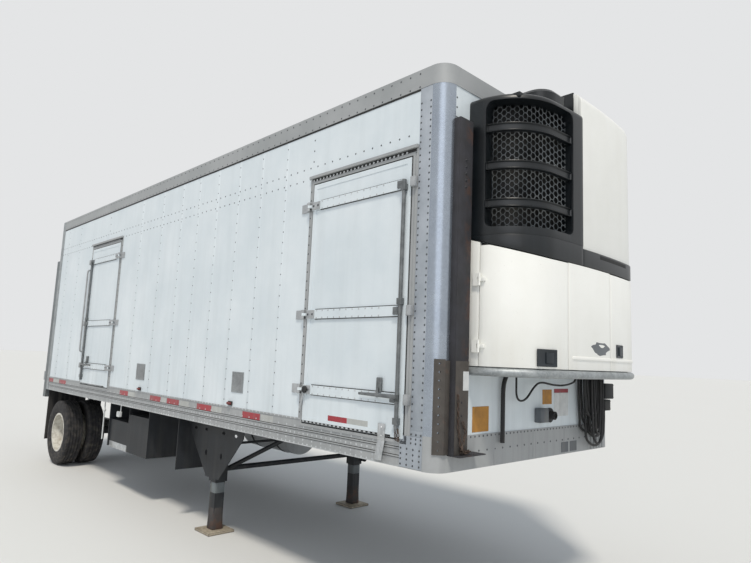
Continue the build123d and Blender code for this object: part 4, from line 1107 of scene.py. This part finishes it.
def makeGrilleFrame(look):
    start, end = window
    levels, high = topLevels(unitFace["grilleTop"], unitFace["grilleRadius"], look["roofRun"])
    outer = addSheet((-wallAlong, splitAlong), (unitFace["bandTopCurb"], high))
    plate = facingForward(holed(outer, roundedLoop(window, look["windowZ"], look["cornerRadius"])))
    bendOntoFace(sliced(plate, levels=levels), unitFace["grilleTop"], unitFace["grilleRadius"])
    thickened(plate, unitFace["skin"])

    wall = look["returnWall"]
    low, high = look["windowZ"]
    tube = roundedLoop((start - wall, end + wall), (low - wall, high + wall), look["cornerRadius"] + wall, -wall)
    chooseFaces(tube)
    bpy.ops.mesh.inset(thickness=wall)
    bpy.ops.mesh.delete(type="FACE")
    bpy.ops.mesh.select_all(action="SELECT")
    bpy.ops.mesh.extrude_region_move(TRANSFORM_OT_translate={"value": (-look["returnDepth"], 0, 0)})
    editDone()
    bent(cleaned(tube))

    louvres = []
    front = -look["louvreInset"]
    back = front - look["louvreDepth"]
    isFront = lambda face: face.normal.x > 0.95 and face.area > 0.01
    for top in look["louvreTops"]:
        bar = addBlock((back, start - wall / 2, top - look["louvreHeight"]), (front, end + wall / 2, top), 0.004)
        louvres.append(bent(moveFaces(bar, isFront, (-look["louvreHollow"], 0, 0), look["louvreLip"])))
    cap = makeCap(look)
    reach, roofY = look["roof"]
    low, high = [unitFace["grilleTop"] - drop for drop in look["roofZ"]]
    roof = addBlock((wallX, roofY, low), (frontX + reach, unitFace["split"], high), 0.003)
    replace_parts(finished([plate, tube, cap, roof] + louvres, "unitGrilleHousing", "grille_black"), "unit_grille")


def foldDepth(y, folds):
    for (y0, depth0), (y1, depth1) in zip(folds, folds[1:]):
        if y <= y1:
            return depth0 + (depth1 - depth0) * max(0, y - y0) / (y1 - y0)
    return folds[-1][1]


def foldedOntoFace(piece, start, end, behind=0.0):
    # Lays a flat piece in the grille's window, set back by the mesh's folds
    for vertex in piece.data.vertices:
        depth, along, height = vertex.co
        x, y, outX, outY = facePoint(max(start, min(end, along)))
        inset = foldDepth(y, unitGrille["folds"]) + behind - depth
        vertex.co = (x - inset * outX, y - inset * outY, height)
    return piece


def makeHoneycomb(look):
    size = look["cell"]
    pitch = size * math.sqrt(3) / 2
    start, end = window[0] - 0.010, window[1] + 0.010
    columns = int((end - start) / pitch)
    cells = []
    for shift in (0, 1):
        cell = added(
            bpy.ops.mesh.primitive_circle_add, vertices=6, radius=size / math.sqrt(3), fill_type="NGON",
            rotation=(math.radians(90), 0, math.radians(90)),
            location=(0, start + shift * pitch, look["windowZ"][0] + 0.012 + shift * size / 2),
        )
        chooseFaces(cell)
        bpy.ops.mesh.inset(thickness=look["wire"] / 2)
        bpy.ops.mesh.delete(type="FACE")
        bpy.ops.mesh.select_all(action="SELECT")
        bpy.ops.mesh.extrude_region_move(TRANSFORM_OT_translate={"value": (-look["wireDepth"], 0, 0)})
        editDone()
        count = (columns + 1 - shift) // 2 + 1
        cells.append(repeated(cell, ((0, 2 * pitch, 0), count), ((0, 0, size), look["rows"])))
    finished(cleaned(foldedOntoFace(joined(cells), start, end), 0.0002), "unitHoneycomb", "mesh_wire")


makeGrilleFrame(unitGrille)
makeHoneycomb(unitGrille)

# Grey tube along the foot of the panels
unitTube = {"radius": 0.030, "depth": -0.012, "z": 1.835, "rim": (1.830, 1.872), "rimDepth": -0.036,
            "rimThick": 0.010}


def makeUnitTube(look):
    end = alongAtX(-0.004)
    tube = addRod((look["depth"], -end, look["z"]), (look["depth"], end, look["z"]), look["radius"], 16, 0.002)
    finished(bent(tube, 0.05), "unitFootTube", "galvanised")
    rim = thickened(bent(addSheet((-end, end), look["rim"], look["rimDepth"])), look["rimThick"], 0)
    finished(rim, "unitFootRim", "galvanised")


makeUnitTube(unitTube)
print("grille")

# Channel post, perforated strip across the curb corner and the shelf at their foot
frontPosts = {
    "channelY": (-1.184, -1.034), "wall": 0.008, "foot": 1.270, "head": 3.650, "shelf": (0.110, -0.890),
    "stripTop": 1.920, "stripOut": 0.129, "stripWall": 0.006, "stripReach": 0.028, "hole": 0.007, "holeStep": 0.058,
}


def makeFrontPosts(look):
    low, high = look["channelY"]
    foot, head, wall = look["foot"], look["head"], look["wall"]
    channel = [
        addBlock((postX - wall, low, foot), (postX, high, head), 0.003),
        addBlock((wallX, low, foot), (postX - 0.002, low + wall, head), 0.002),
        addBlock((wallX, high - wall, foot), (postX - 0.002, high, head), 0.002),
        addBlock((frontX, low, foot - 0.008), (frontX + look["shelf"][0], look["shelf"][1], foot), 0.002),
    ]
    finished(channel, "frontChannelPost", "rusted_post")

    # one tile with its hole, repeated up the strip, then turned to lie across the corner
    step, reach, top = look["holeStep"], look["stripReach"], look["stripTop"] - 0.02
    width = (math.sqrt(2) - 1) * look["stripOut"] + reach
    ring = added(bpy.ops.mesh.primitive_circle_add, vertices=12, radius=look["hole"], fill_type="NOTHING",
                 location=(0, 0, step / 2), rotation=(0, math.radians(90), 0))
    tile = holed(addSheet((-width / 2, width / 2), (0, step)), ring)
    repeated(tile, ((0, 0, step), int((look["stripTop"] - foot) / step)))
    thickened(facingForward(tile, 0.0002), look["stripWall"], 0)
    centre = Vector((frontX - 0.125, 0.125 - sideY, foot))
    out, along = Vector((1, -1, 0)).normalized(), Vector((1, 1, 0)).normalized()
    middle = centre + out * (look["stripOut"] + look["stripWall"]) + along * (width / 2 - reach)
    tile.matrix_world = Matrix.Translation(middle) @ Matrix.Rotation(math.radians(-45), 4, "Z")
    settle(tile)
    bend = centre + out * look["stripOut"] + along * (width - reach)
    front = addBlock((frontX + 0.004, bend.y - 0.002, foot), (frontX + 0.010, low + 0.001, top), 0.001)
    facing = addBlock((postX, low + 0.004, foot), (postX + 0.003, high - 0.002, top), 0.001)
    finished([tile, front, facing], "cornerAngle", "angle_rust")


makeFrontPosts(frontPosts)

# Riveted strips over the side skins' joints, lighter than the polished posts, with a plate on the rail below
cornerStrips = {"back": 0.125, "width": 0.115, "proud": 0.0045, "foot": 1.370, "step": 1.410, "head": 3.908,
                "plateWidth": 0.210, "plateFoot": 1.156, "plateProud": 0.002}


def makeCornerStrips(look):
    pieces = []
    back, foot, step = frontX - look["back"], look["foot"], look["step"]
    start = back - look["width"]
    for side in (-1, 1):
        skin = side * skinY
        pieces.append(addBlock((start, skin, step), (back, side * (skinY + look["proud"]), look["head"]), 0.001))
        pieces.append(addBlock((start, skin, foot), (back, side * (sideY - 0.0005), step), 0.001))
    start, plateY = back - look["plateWidth"], -sideY - look["plateProud"]
    pieces.append(addBlock((start, -sideY, look["plateFoot"]), (back, plateY, foot), 0.001))
    finished(pieces, "cornerJointStrips", "satin_strip")


makeCornerStrips(cornerStrips)

# Connectors under the unit: boxes with a lid line and a round socket
connectors = {
    # middle along Y, low, high, width, depth
    "grey": ((0.0, 1.434, 1.547, 0.125, 0.060),),
    "black": ((1.100, 1.500, 1.600, 0.120, 0.080), (1.075, 1.610, 1.750, 0.170, 0.110)),
    "lip": 0.006, "lid": 0.004, "screw": 0.014, "socket": (0.170, 1.484), "flange": (0.012, 0.060),
    "barrel": (0.058, 0.034), "bore": 0.036,
}


def makeConnectors(look):
    pieces = {}
    small = boltHead | {"radius": 0.005, "height": 0.003}
    isLid = lambda face: face.normal.x > 0.95 and face.area > 0.003
    for tone in ("grey", "black"):
        pieces[tone] = []
        for y, low, high, width, depth in look[tone]:
            start, end, face = y - width / 2, y + width / 2, wallX + depth
            box = addBlock((wallX, start, low), (face, end, high), 0.006, 3)
            moveFaces(box, isLid, (look["lid"], 0, 0), look["lip"])
            pieces[tone] += [box, fourHeads(face + 0.003, start, end, low, high, look["screw"], small)]
    y, z = look["socket"]
    reach, radius = look["flange"]
    flange = addRod((wallX, y, z), (wallX + reach, y, z), radius, 28, 0.004)
    reach, radius = look["barrel"]
    barrel = addRod((wallX, y, z), (wallX + reach, y, z), radius, 24, 0.010)
    chooseFaces(barrel, lambda face: face.normal.x > 0.9 and len(face.vertices) == 24)
    bpy.ops.mesh.extrude_region_move(TRANSFORM_OT_translate={"value": (-look["bore"], 0, 0)})
    editDone()
    finished(pieces["grey"], "greyConnectorBox", "grey_plastic")
    finished(pieces["black"] + [flange, barrel], "blackConnectors", "seal_rubber")


makeConnectors(connectors)

# Hoses on the front wall: each follows its own line of points, as a smooth curve held at both ends
frontHoses = {
    # radius, out from the wall, then the places across and up that it runs through
    "drain": (0.017, 0.030, (
        (-0.56, 1.310), (-0.56, 1.55), (-0.56, 1.72), (-0.53, 1.79), (-0.49, 1.83), (-0.49, 1.872))),
    "cable": (0.008, 0.062, (
        (-0.43, 1.872), (-0.43, 1.76), (-0.43, 1.645), (-0.37, 1.61), (-0.28, 1.63), (-0.18, 1.72), (-0.08, 1.765),
        (0.12, 1.735), (0.32, 1.73), (0.50, 1.76), (0.52, 1.82), (0.52, 1.872))),
    "loopRadius": 0.011, "loopTop": 1.872,
    "loops": (
        # out from the wall, across at the start, lowest level, across at the end, level at the end
        (0.024, 0.640, 1.33, 1.060, 1.50), (0.024, 0.690, 1.39, 1.020, 1.50), (0.050, 0.700, 1.23, 1.085, 1.50),
        (0.050, 0.745, 1.29, 1.050, 1.50), (0.076, 0.760, 1.42, 0.880, 1.872), (0.076, 0.720, 1.34, 0.915, 1.872),
        (0.100, 0.610, 1.48, 0.860, 1.872), (0.100, 0.650, 1.53, 0.820, 1.872), (0.124, 0.690, 1.26, 0.900, 1.872),
        (0.124, 0.735, 1.33, 0.860, 1.872),
    ),
}


def addHose(points, radius):
    curve = bpy.data.curves.new("hoseLine", "CURVE")
    curve.dimensions = "3D"
    line = curve.splines.new("NURBS")
    line.points.add(len(points) - 1)
    for point, place in zip(line.points, points):
        point.co = (*place, 1)
    line.order_u = 3
    line.use_endpoint_u = True
    line.resolution_u = 6
    curve.bevel_depth = radius
    curve.bevel_resolution = 2
    curve.use_fill_caps = True
    hose = bpy.data.objects.new("hoseLine", curve)
    bpy.context.scene.collection.objects.link(hose)
    onlySelect(hose)
    bpy.ops.object.convert(target="MESH")
    return bpy.context.object


def makeFrontHoses(look):
    hoses = []
    for radius, out, route in (look["drain"], look["cable"]):
        hoses.append(addHose([(wallX + out, y, z) for y, z in route], radius))
    top = look["loopTop"]
    for index, (out, y0, low, y1, end) in enumerate(look["loops"]):
        x, bottom = wallX + out, low - 0.03 - 0.012 * (index % 3)
        hoses.append(addHose([
            (x, y0, top), (x, y0 - 0.01, 1.70), (x + 0.004, y0 + 0.01, low + 0.12), (x, y0 + 0.02, low + 0.02),
            (x + 0.003, (y0 + y1) / 2, bottom), (x, y1 - 0.02, low + 0.02),
            (x + 0.004, y1 - 0.01, (low + end) / 2 + 0.04), (x, y1, end - 0.05), (x, y1, end),
        ], look["loopRadius"]))
    finished(hoses, "frontHoseBundle", "hose_rubber")


makeFrontHoses(frontHoses)

# Lamps: two small ones over the curb rail, four round ones in the rear sill, three in the rear header
trailerLamps = {
    "sideBacks": (4.82, 2.64), "sideZ": 1.400, "headerY": (-0.2, 0.0, 0.2), "headerZ": 3.965,
    "half": (0.030, 0.013), "rearY": (0.98, 1.11), "rearZ": 1.230, "rearRadius": 0.050, "rim": 0.008,
    # how far the lens and its rim stand out
    "sideOut": (0.034, 0.012), "headerOut": (0.022, 0.008), "rearOut": (0.022, 0.010), "sunk": 0.002,
}


def makeLamps(look):
    half, tall = look["half"]
    sunk, rim = look["sunk"], look["rim"]
    wide, high = half + rim, tall + rim
    lenses, rims = [], []
    z, (lensOut, rimOut) = look["sideZ"], look["sideOut"]
    for back in look["sideBacks"]:
        x = frontX - back
        lenses.append(addBlock((x - half, -skinY - sunk, z - tall), (x + half, -skinY - lensOut, z + tall), 0.008, 3))
        rims.append(addBlock((x - wide, -skinY, z - high), (x + wide, -skinY - rimOut, z + high), 0.004))
    z, (lensOut, rimOut) = look["headerZ"], look["headerOut"]
    for y in look["headerY"]:
        lenses.append(addBlock((rearX - lensOut, y - half, z - tall), (rearX, y + half, z + tall), 0.008, 3))
        rims.append(addBlock((rearX - rimOut, y - wide, z - high), (rearX, y + wide, z + high), 0.003))
    z, (lensOut, rimOut) = look["rearZ"], look["rearOut"]
    for y in [side * y for side in (-1, 1) for y in look["rearY"]]:
        back = (rearX + sunk, y, z)
        lenses.append(addRod(back, (rearX - lensOut, y, z), look["rearRadius"], 32, 0.012))
        rims.append(addRod(back, (rearX - rimOut, y, z), look["rearRadius"] + rim, 32, 0.003))
    finished(lenses, "lampLenses", "lamp_red")
    finished(rims, "lampRims", "seal_rubber")


makeLamps(trailerLamps)
print("front fittings and lamps")

# Door locks: collars on the rod, a lever with its hub and catch, and keepers on the frame
doorLocks = {
    "rod": (0.050, 0.0185), "rodRadius": 0.0150, "rodZ": (1.400, 3.225), "collar": 0.0165, "collarHalf": 0.028,
    "reach": 0.07, "lever": (1.630, 0.390, 0.016), "leverTip": 0.6, "hub": 0.0165, "hubHalf": 0.032,
    "keeper": (0.014, 0.060), "keeperHalf": 0.038, "keeperOut": (0.004, 0.040), "catchBack": 0.190,
    # half width, how far out, from and to along Z
    "catch": (0.027, 0.022, 0.02, 0.128), "pawl": (0.010, 0.009, -0.016, 0.05),
}


def makeDoorLock(door, look):
    low, high, away, hingeX, freeX = doorEnds(door)
    rodX, rodY = freeX - away * look["rod"][0], low.y - look["rod"][1]
    pieces = [addRod((rodX, rodY, look["rodZ"][0]), (rodX, rodY, look["rodZ"][1]), look["rodRadius"], 20, 0.002)]
    half = look["collarHalf"]
    for z in doorTrim["heights"]:
        pieces.append(addRod((rodX, rodY, z - half), (rodX, rodY, z + half), look["collar"], 20, 0.003))
        pieces.append(addBlock((rodX - away * look["reach"], low.y + 0.001, z - half),
                               (rodX - away * 0.02, rodY - 0.006, z + half), 0.004))
    z, length, tall = look["lever"]
    leverY, tip, half = rodY - look["rodRadius"] + 0.008, rodX - away * length, look["hubHalf"]
    pieces.append(addRod((rodX, rodY, z - half), (rodX, rodY, z + half), look["hub"], 20, 0.004))
    lever = addBlock((tip, leverY, z - tall), (rodX, leverY - 0.010, z + tall), 0.004)
    isTip = lambda face: (face.center.x - tip) * away < 0.02 * length
    pieces.append(resizeFaces(lever, isTip, (1, 1, look["leverTip"]), (tip, leverY, z)))
    x = rodX - away * look["catchBack"]
    half, out, foot, head = look["catch"]
    pieces.append(addBlock((x - half, low.y, z + foot), (x + half, low.y - out, z + head), 0.010, 3))
    half, out, foot, head = look["pawl"]
    pieces.append(addBlock((x - half, leverY, z + foot), (x + half, leverY - out, z + head), 0.003))
    finished(pieces, door + "Lock", "lock_grey", door)
    inner, outer = [freeX + away * beyond for beyond in look["keeper"]]
    back, front = [-skinY - out for out in look["keeperOut"]]
    half = look["keeperHalf"]
    keepers = [addBlock((inner, back, z - half), (outer, front, z + half), 0.005) for z in doorTrim["heights"]]
    finished(keepers, door + "Keepers", "door_hardware")


for doorName in ("front_door", "rear_door"):
    makeDoorLock(doorName, doorLocks)

# The grab handle at the rear corner, bent the same way at both ends
grabHandle = {"back": 7.095, "low": 1.82, "high": 3.08, "radius": 0.012,
              "bend": ((0, 0), (0.026, 0), (0.034, 0.03), (0.035, 0.10))}


def makeGrabHandle(look):
    x = frontX - look["back"]
    lower = [(x, -skinY - out, look["low"] + up) for out, up in look["bend"]]
    upper = [(x, -skinY - out, look["high"] - down) for out, down in reversed(look["bend"])]
    finished(addHose(lower + upper, look["radius"]), "rearGrabHandle", "door_hardware")


makeGrabHandle(grabHandle)

# Landing gear: bright middle sleeves, cast feet, diagonal braces and the cranking shaft
landingTrim = {
    "y": sideY - 0.3055, "x": frontX - 3.290, "cross": 0.640, "brace": 0.024, "run": 0.700, "headY": 0.260,
    "shaft": 0.014, "shaftZ": 0.900, "inset": 0.07, "crossInset": 0.048, "flare": 1.25,
    # half width, foot, head, eased edge
    "sleeve": (0.057, 0.400, 0.510, 0.006), "foot": (0.050, 0.026, 0.400, 0.008),
    "shoe": (0.1508, 0.0, 0.0262, 0.005),
}


def legBlock(x, y, form):
    half, foot, head, edge = form
    return addBlock((x - half, y - half, foot), (x + half, y + half, head), edge)


def makeLandingTrim(look):
    x, inner = look["x"], look["y"] - look["inset"]
    legs = [side * look["y"] for side in (-1, 1)]
    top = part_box("cross_members")[0].z
    rods = [addRod((x, -inner, look["shaftZ"]), (x, inner, look["shaftZ"]), look["shaft"], 12)]
    for side in (-1, 1):
        start = (x, side * (inner - look["crossInset"]), look["cross"])
        rods.append(addRod(start, (x + look["run"], side * look["headY"], top), look["brace"], 14))
    finished(rods, "landingBraceRods", "black_frame")
    finished([legBlock(x, y, look["sleeve"]) for y in legs], "legSleeves", "dull_zinc")
    low, flare = look["foot"][1], look["flare"]
    isSole = lambda face: face.center.z < low + 0.01
    feet = [resizeFaces(legBlock(x, y, look["foot"]), isSole, (flare, flare, 1), (x, y, low)) for y in legs]
    finished(feet, "legFeet", "rusty_steel")
    finished([legBlock(x, y, look["shoe"]) for y in legs], "legShoes", "dusty_shoe")


makeLandingTrim(landingTrim)
print("locks and landing gear")

# Bolts down the channel post
postBolts = {"levels": (1.53, 1.62, 3.14, 3.19, 3.24, 3.29, 3.34), "y": -1.11}
bolts = [rivetRow((postX, postBolts["y"], level), (1, 0, 0), look=boltHead) for level in postBolts["levels"]]
finished(bolts, "postBolts", "black_frame")

# The pale bent bracket that hangs from the door over the rail
doorBracket = {"x": (3.685, 3.758), "top": 1.430, "bend": 1.305, "foot": 1.175, "reach": 0.029, "plate": 0.0035,
               "boltDrop": 0.03, "boltStep": -0.06}


def makeDoorBracket(look):
    (start, end), bend, top = look["x"], look["bend"], look["top"]
    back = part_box("front_door_leaf")[0].y - 0.0005
    front = back - look["plate"]
    upright = addBlock((start, back, bend), (end, front, top), 0.001)
    foot = addBlock((start, back, look["foot"]), (end, front, bend + 0.002), 0.001)
    moveFaces(foot, lambda face: face.center.z < look["foot"] + 0.01, (0, -look["reach"], 0))
    place = ((start + end) / 2, front, top - look["boltDrop"])
    bolts = rivetRow(place, (0, -1, 0), ((0, 0, look["boltStep"]), 2), look=boltHead)
    finished([upright, foot, bolts], "doorBracket", "bright_zinc", "front_door")


makeDoorBracket(doorBracket)

# A rubber bumper on the low hinge and a loose hook of bent wire under it
doorBumper = {"from": (2.815, -1.316, 1.615), "to": (2.815, -1.334, 1.615), "radius": 0.028, "edge": 0.005}
doorHook = {"from": (2.80, -1.322, 1.585), "to": (2.765, -1.326, 1.46), "radius": 0.007}
bumper = addRod(doorBumper["from"], doorBumper["to"], doorBumper["radius"], 20, doorBumper["edge"])
finished(bumper, "doorBumper", "seal_rubber", "front_door")
hook = addRod(doorHook["from"], doorHook["to"], doorHook["radius"], 10)
finished(hook, "doorHook", "door_hardware", "front_door")
print("door fittings")


# Latches are made facing forward at the origin and set on the face
def bowAt(y):
    # Where the face is along X, and its outward turn in radians
    x, y, outX, outY = facePoint(alongAtY(y))
    return x, math.atan2(outY, outX)


unitLatch = {"half": (0.090, 0.060), "rim": 0.014, "proud": 0.008, "sunk": 0.006, "paddle": (0.055, 0.0375, 0.007)}


def makeLatch(name, y, z, look, body):
    half, tall = look["half"]
    plate = addBlock((-0.004, -half, -tall), (look["proud"], half, tall), 0.004, 3)
    moveFaces(plate, lambda face: face.normal.x > 0.9 and face.area > 0.003, (-look["sunk"], 0, 0), look["rim"])
    wide, tall, thick = look["paddle"]
    depth = look["proud"] - look["sunk"]
    paddle = addBlock((depth, -0.012, -tall), (depth + thick, wide, tall), 0.003, 3)
    latch = joined([plate, paddle])
    x, turn = bowAt(y)
    latch.matrix_world = Matrix.Translation((x, y, z)) @ Matrix.Rotation(turn, 4, "Z") @ latch.matrix_world
    return finished(settle(latch), name, "black_plastic", body)


streetLatch = unitLatch | {"half": (0.065, 0.0525), "paddle": (0.045, 0.035, 0.006)}
makeLatch("curbDoorLatch", -0.70, 1.945, unitLatch, "unit_curb_door")
makeLatch("streetDoorLatch", 0.38, 2.03, streetLatch, "unit_street_door")

# The peeled patch on the centre panel
wornPatch = {"centre": (0.03, 2.035), "size": (0.155, 0.05), "sides": 22, "proud": 0.0006, "film": 0.0008}


def makeWornPatch(look):
    patch = added(bpy.ops.mesh.primitive_circle_add, vertices=look["sides"], radius=1, fill_type="NGON",
                  rotation=(0, math.radians(90), 0))
    for index, vertex in enumerate(patch.data.vertices):
        ragged = 1 + 0.10 * math.sin(2.1 * index) + 0.05 * math.sin(3.7 * index + 1)
        y = look["centre"][0] + vertex.co.y * look["size"][0] * ragged * (1 - 0.25 * (vertex.co.z < 0))
        z = look["centre"][1] + vertex.co.z * look["size"][1] * ragged
        vertex.co = (bowAt(y)[0] + look["proud"], y, z)
    finished(modified(patch, "SOLIDIFY", thickness=look["film"]), "wornFilmPatch", "grey_plastic")


makeWornPatch(wornPatch)
print("unit fittings")

# Condenser core: fins that show through the honeycomb, in step with its folds, painted near black as the shade inside
# the unit
condenserCore = {"behind": 0.034, "low": 2.862, "high": 3.796, "finStep": 0.012, "fin": (0.008, 0.0014)}


def makeCondenserCore(look):
    start, end = window[0] - 0.012, window[1] + 0.012
    deep, thick = look["fin"]
    back = sliced(addSheet((start, end), (look["low"], look["high"])))
    fin = addBlock((0, start, look["low"]), (deep, start + thick, look["high"]), 0.0003, 1)
    core = joined([back, repeated(fin, ((0, look["finStep"], 0), int((end - start) / look["finStep"])))])
    finished(foldedOntoFace(core, start, end, look["behind"]), "condenserCore", "condenser_shade_black")


makeCondenserCore(condenserCore)
print("condenser core")

# Wheels: nuts on each disc, bolts round each hub cap, and tyres with a grooved tread
wheelTrim = {
    "nutCircle": 0.1425, "nuts": 10, "nutRadius": 0.018, "nutHeight": 0.022, "stud": 0.010, "studOut": 0.014,
    "capCircle": 0.054, "capBolts": 6, "discFace": 0.012, "capReach": 0.150,
}


def makeWheelTrim(side, body, look):
    twinY = side * sum(abs(corner.y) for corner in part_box(body.replace("_wheel", "_wheels"))) / 2
    face, top = look["discFace"], look["discFace"] + look["nutHeight"]
    nut = addRod((0, side * face, 0), (0, side * top, 0), look["nutRadius"], 6, 0.003)
    stud = addRod((0, side * face, 0), (0, side * (top + look["studOut"]), 0), look["stud"], 10, 0.002)
    whole = joined([nut, stud])
    nuts = []
    for index in range(look["nuts"]):
        turn = Matrix.Rotation(2 * math.pi * (index + 0.5) / look["nuts"], 4, "Y")
        nuts.append(copyOf(whole, (axleX, twinY, axleZ), turn @ Matrix.Translation((0, 0, look["nutCircle"]))))
    bpy.data.objects.remove(whole)
    finished(nuts, body + "Nuts", "door_hardware", body)
    bolts = []
    circle, y = look["capCircle"], twinY + side * look["capReach"]
    for index in range(look["capBolts"]):
        angle = 2 * math.pi * index / look["capBolts"]
        place = (axleX + circle * math.sin(angle), y, axleZ + circle * math.cos(angle))
        bolts.append(addHead(place, (0, side, 0), capHead))
    finished(bolts, body + "CapBolts", "bright_zinc", body)


wheelBodies = ((-1, "curb_wheel"), (1, "street_wheel"))
for sideSign, wheelBody in wheelBodies:
    makeWheelTrim(sideSign, wheelBody, wheelTrim)

tyreForm = {
    "radius": 0.505, "half": 0.136, "groovesAndShadeLines": (-0.066, -0.022, 0.022, 0.066), "grooveAndShadeHalf": 0.005, "depth": 0.013,
    "crown": (0.108, 0.004), "casing": 0.008, "steps": 72,
    # from the bead up one side: along the axle, and radius
    "wall": ((-0.100, 0.294), (-0.118, 0.330), (-0.135, 0.385), (-0.134, 0.420), (-0.128, 0.462), (-0.116, 0.488),
             (-0.108, 0.4985)),
}


def tyreOutline(look):
    outline = list(look["wall"])
    (crownHalf, drop), half = look["crown"], look["grooveAndShadeHalf"]
    for middle in look["groovesAndShadeLines"]:
        crown = look["radius"] - drop * (middle / crownHalf) ** 2 - 0.001
        floor = crown - look["depth"]
        outline += [(middle - half, crown), (middle - half + 0.001, floor),
                    (middle + half - 0.001, floor), (middle + half, crown)]
    return outline + [(-y, r) for y, r in reversed(look["wall"])]


def makeTyres(side, body, look):
    node = body.replace("_wheel", "_tyres")
    near, far = sorted(abs(corner.y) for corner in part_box(node))
    tyres = []
    for middle in (near + look["half"], far - look["half"]):
        route = [Vector((axleX, side * middle + y, axleZ + r)) for y, r in tyreOutline(look)]
        tyre = added(bpy.ops.mesh.primitive_plane_add, size=0.01, location=(0, 0, 0))
        chooseAll(tyre, "VERT")
        bpy.ops.mesh.merge(type="CENTER")
        bpy.ops.transform.translate(value=route[0])
        for here, there in zip(route, route[1:]):
            bpy.ops.mesh.extrude_vertices_move(TRANSFORM_OT_translate={"value": there - here})
        bpy.ops.mesh.select_all(action="SELECT")
        centre = (axleX, side * middle, axleZ)
        bpy.ops.mesh.spin(steps=look["steps"], angle=2 * math.pi, center=centre, axis=(0, 1, 0))
        editDone()
        tyres.append(modified(cleaned(tyre, 0.0004), "SOLIDIFY", thickness=look["casing"], offset=-1))
    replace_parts(finished(tyres, body + "Treads", "tyre_rubber", body, 30), node)


for sideSign, wheelBody in wheelBodies:
    makeTyres(sideSign, wheelBody, tyreForm)
print("wheels")

# Small things under the curb rail: a white rod with a knob, a work lamp and the pump box's bright lip
underRail = {"y": -1.255, "top": 1.151, "rodX": frontX - 6.02, "rodFoot": 0.64, "rodRadius": 0.009,
             "knob": 0.020, "knobZ": 1.03, "lampX": frontX - 5.44, "lampZ": 1.03, "lamp": (0.045, 0.035),
             "lampDeep": 0.04, "lip": (0.55, 0.63)}


def makeUnderRail(look):
    x, y, top = look["rodX"], look["y"], look["top"]
    rod = addRod((x, y, look["rodFoot"]), (x, y, top), look["rodRadius"], 12)
    z = look["knobZ"]
    knob = added(bpy.ops.mesh.primitive_uv_sphere_add, segments=16, ring_count=10, radius=look["knob"],
                 location=(x, y, z))
    resizeFaces(knob, lambda face: abs(face.center.z - z) > 0.014, (1, 1, 0.7), (x, y, z))
    finished([rod, knob], "landingRod", "white_plate")
    x, z = look["lampX"], look["lampZ"]
    half, tall = look["lamp"]
    stem = addBlock((x - 0.012, y - 0.006, z + 0.03), (x + 0.012, y, top), 0.002)
    body = addBlock((x - half, y - look["lampDeep"], z - tall), (x + half, y, z + tall), 0.008, 3)
    moveFaces(body, lambda face: face.normal.y < -0.9, (0, 0.006, 0), 0.006)
    finished([stem, body], "workLamp", "white_plate")
    low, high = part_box("pump_box")
    lip = addBlock((low.x + 0.02, low.y - 0.003, look["lip"][0]), (high.x - 0.02, low.y, look["lip"][1]), 0.001)
    finished(lip, "pumpBoxLip", "bright_zinc")


makeUnderRail(underRail)
print("under the rail")

# Studio: a pale floor that keeps the shadow, a pale background and two soft suns
studio = {
    "floorSize": 400, "floorColours": ("DADAD8", "DCDCDA"), "cloudSize": 6000, "background": "E4E5E6",
    "ambient": "E3EBF4", "lightLevel": 0.62,
    # the way that the light travels, strength, spread in degrees, colour. The key light travels as the
    # photograph's shadows fall: steeply, from between the nose and the curb side
    "keySun": ((-1.8, 1.75, -4.07), 2.1, 9, "FFF8EC"), "fillSun": ((-9, 12, -4), 0.35, 40, "F2F6FF"),
}


def makeFloor(settings):
    floor = added(bpy.ops.mesh.primitive_plane_add, size=settings["floorSize"], location=(0, 0, -0.002))
    floor.name = "paleFloor"
    material, tree, shader = newMaterial("paleFloorPaint")
    place = addNode(tree, "TexCoord").outputs["Object"]
    clouds = pattern(tree, place, settings["cloudSize"], Detail=3.0)["Fac"]
    first, second = [linear(colour) for colour in settings["floorColours"]]
    tint = addNode(tree, "Mix", {"data_type": "RGBA", 6: first, 7: second}, {0: clouds})
    tree.links.new(tint.outputs[2], shader.inputs["Base Color"])
    shader.inputs["Roughness"].default_value = 0.9
    floor.data.materials.append(material)


def makeWorld(settings):
    world = bpy.data.worlds.new("studioWorld")
    bpy.context.scene.world = world
    world.use_nodes = True
    tree = world.node_tree
    tree.nodes.clear()
    ambient, level = linear(settings["ambient"]), settings["lightLevel"]
    light = addNode(tree, "Background", {"Color": ambient, "Strength": level})
    seen = addNode(tree, "Background", {"Color": linear(settings["background"])})
    rays = addNode(tree, "LightPath").outputs
    direct = reckoned(tree, "MAXIMUM", rays["Is Camera Ray"], rays["Is Glossy Ray"])
    direct = reckoned(tree, "MAXIMUM", direct, rays["Is Transmission Ray"])
    mixed = addNode(tree, "MixShader", links={0: direct, 1: light.outputs[0], 2: seen.outputs[0]})
    addNode(tree, "OutputWorld", links={"Surface": mixed.outputs[0]})


def addSoftSun(name, travel, strength, spread, colour):
    data = bpy.data.lights.new(name, "SUN")
    data.energy, data.angle, data.color = strength, math.radians(spread), linear(colour)[:3]
    lamp = bpy.data.objects.new(name, data)
    bpy.context.scene.collection.objects.link(lamp)
    lamp.rotation_euler = Vector(travel).to_track_quat("-Z", "Y").to_euler()


makeFloor(studio)
makeWorld(studio)
for sunName in ("keySun", "fillSun"):
    addSoftSun(sunName, *studio[sunName])
bpy.context.scene.view_settings.view_transform = "Standard"
print("studio ready")
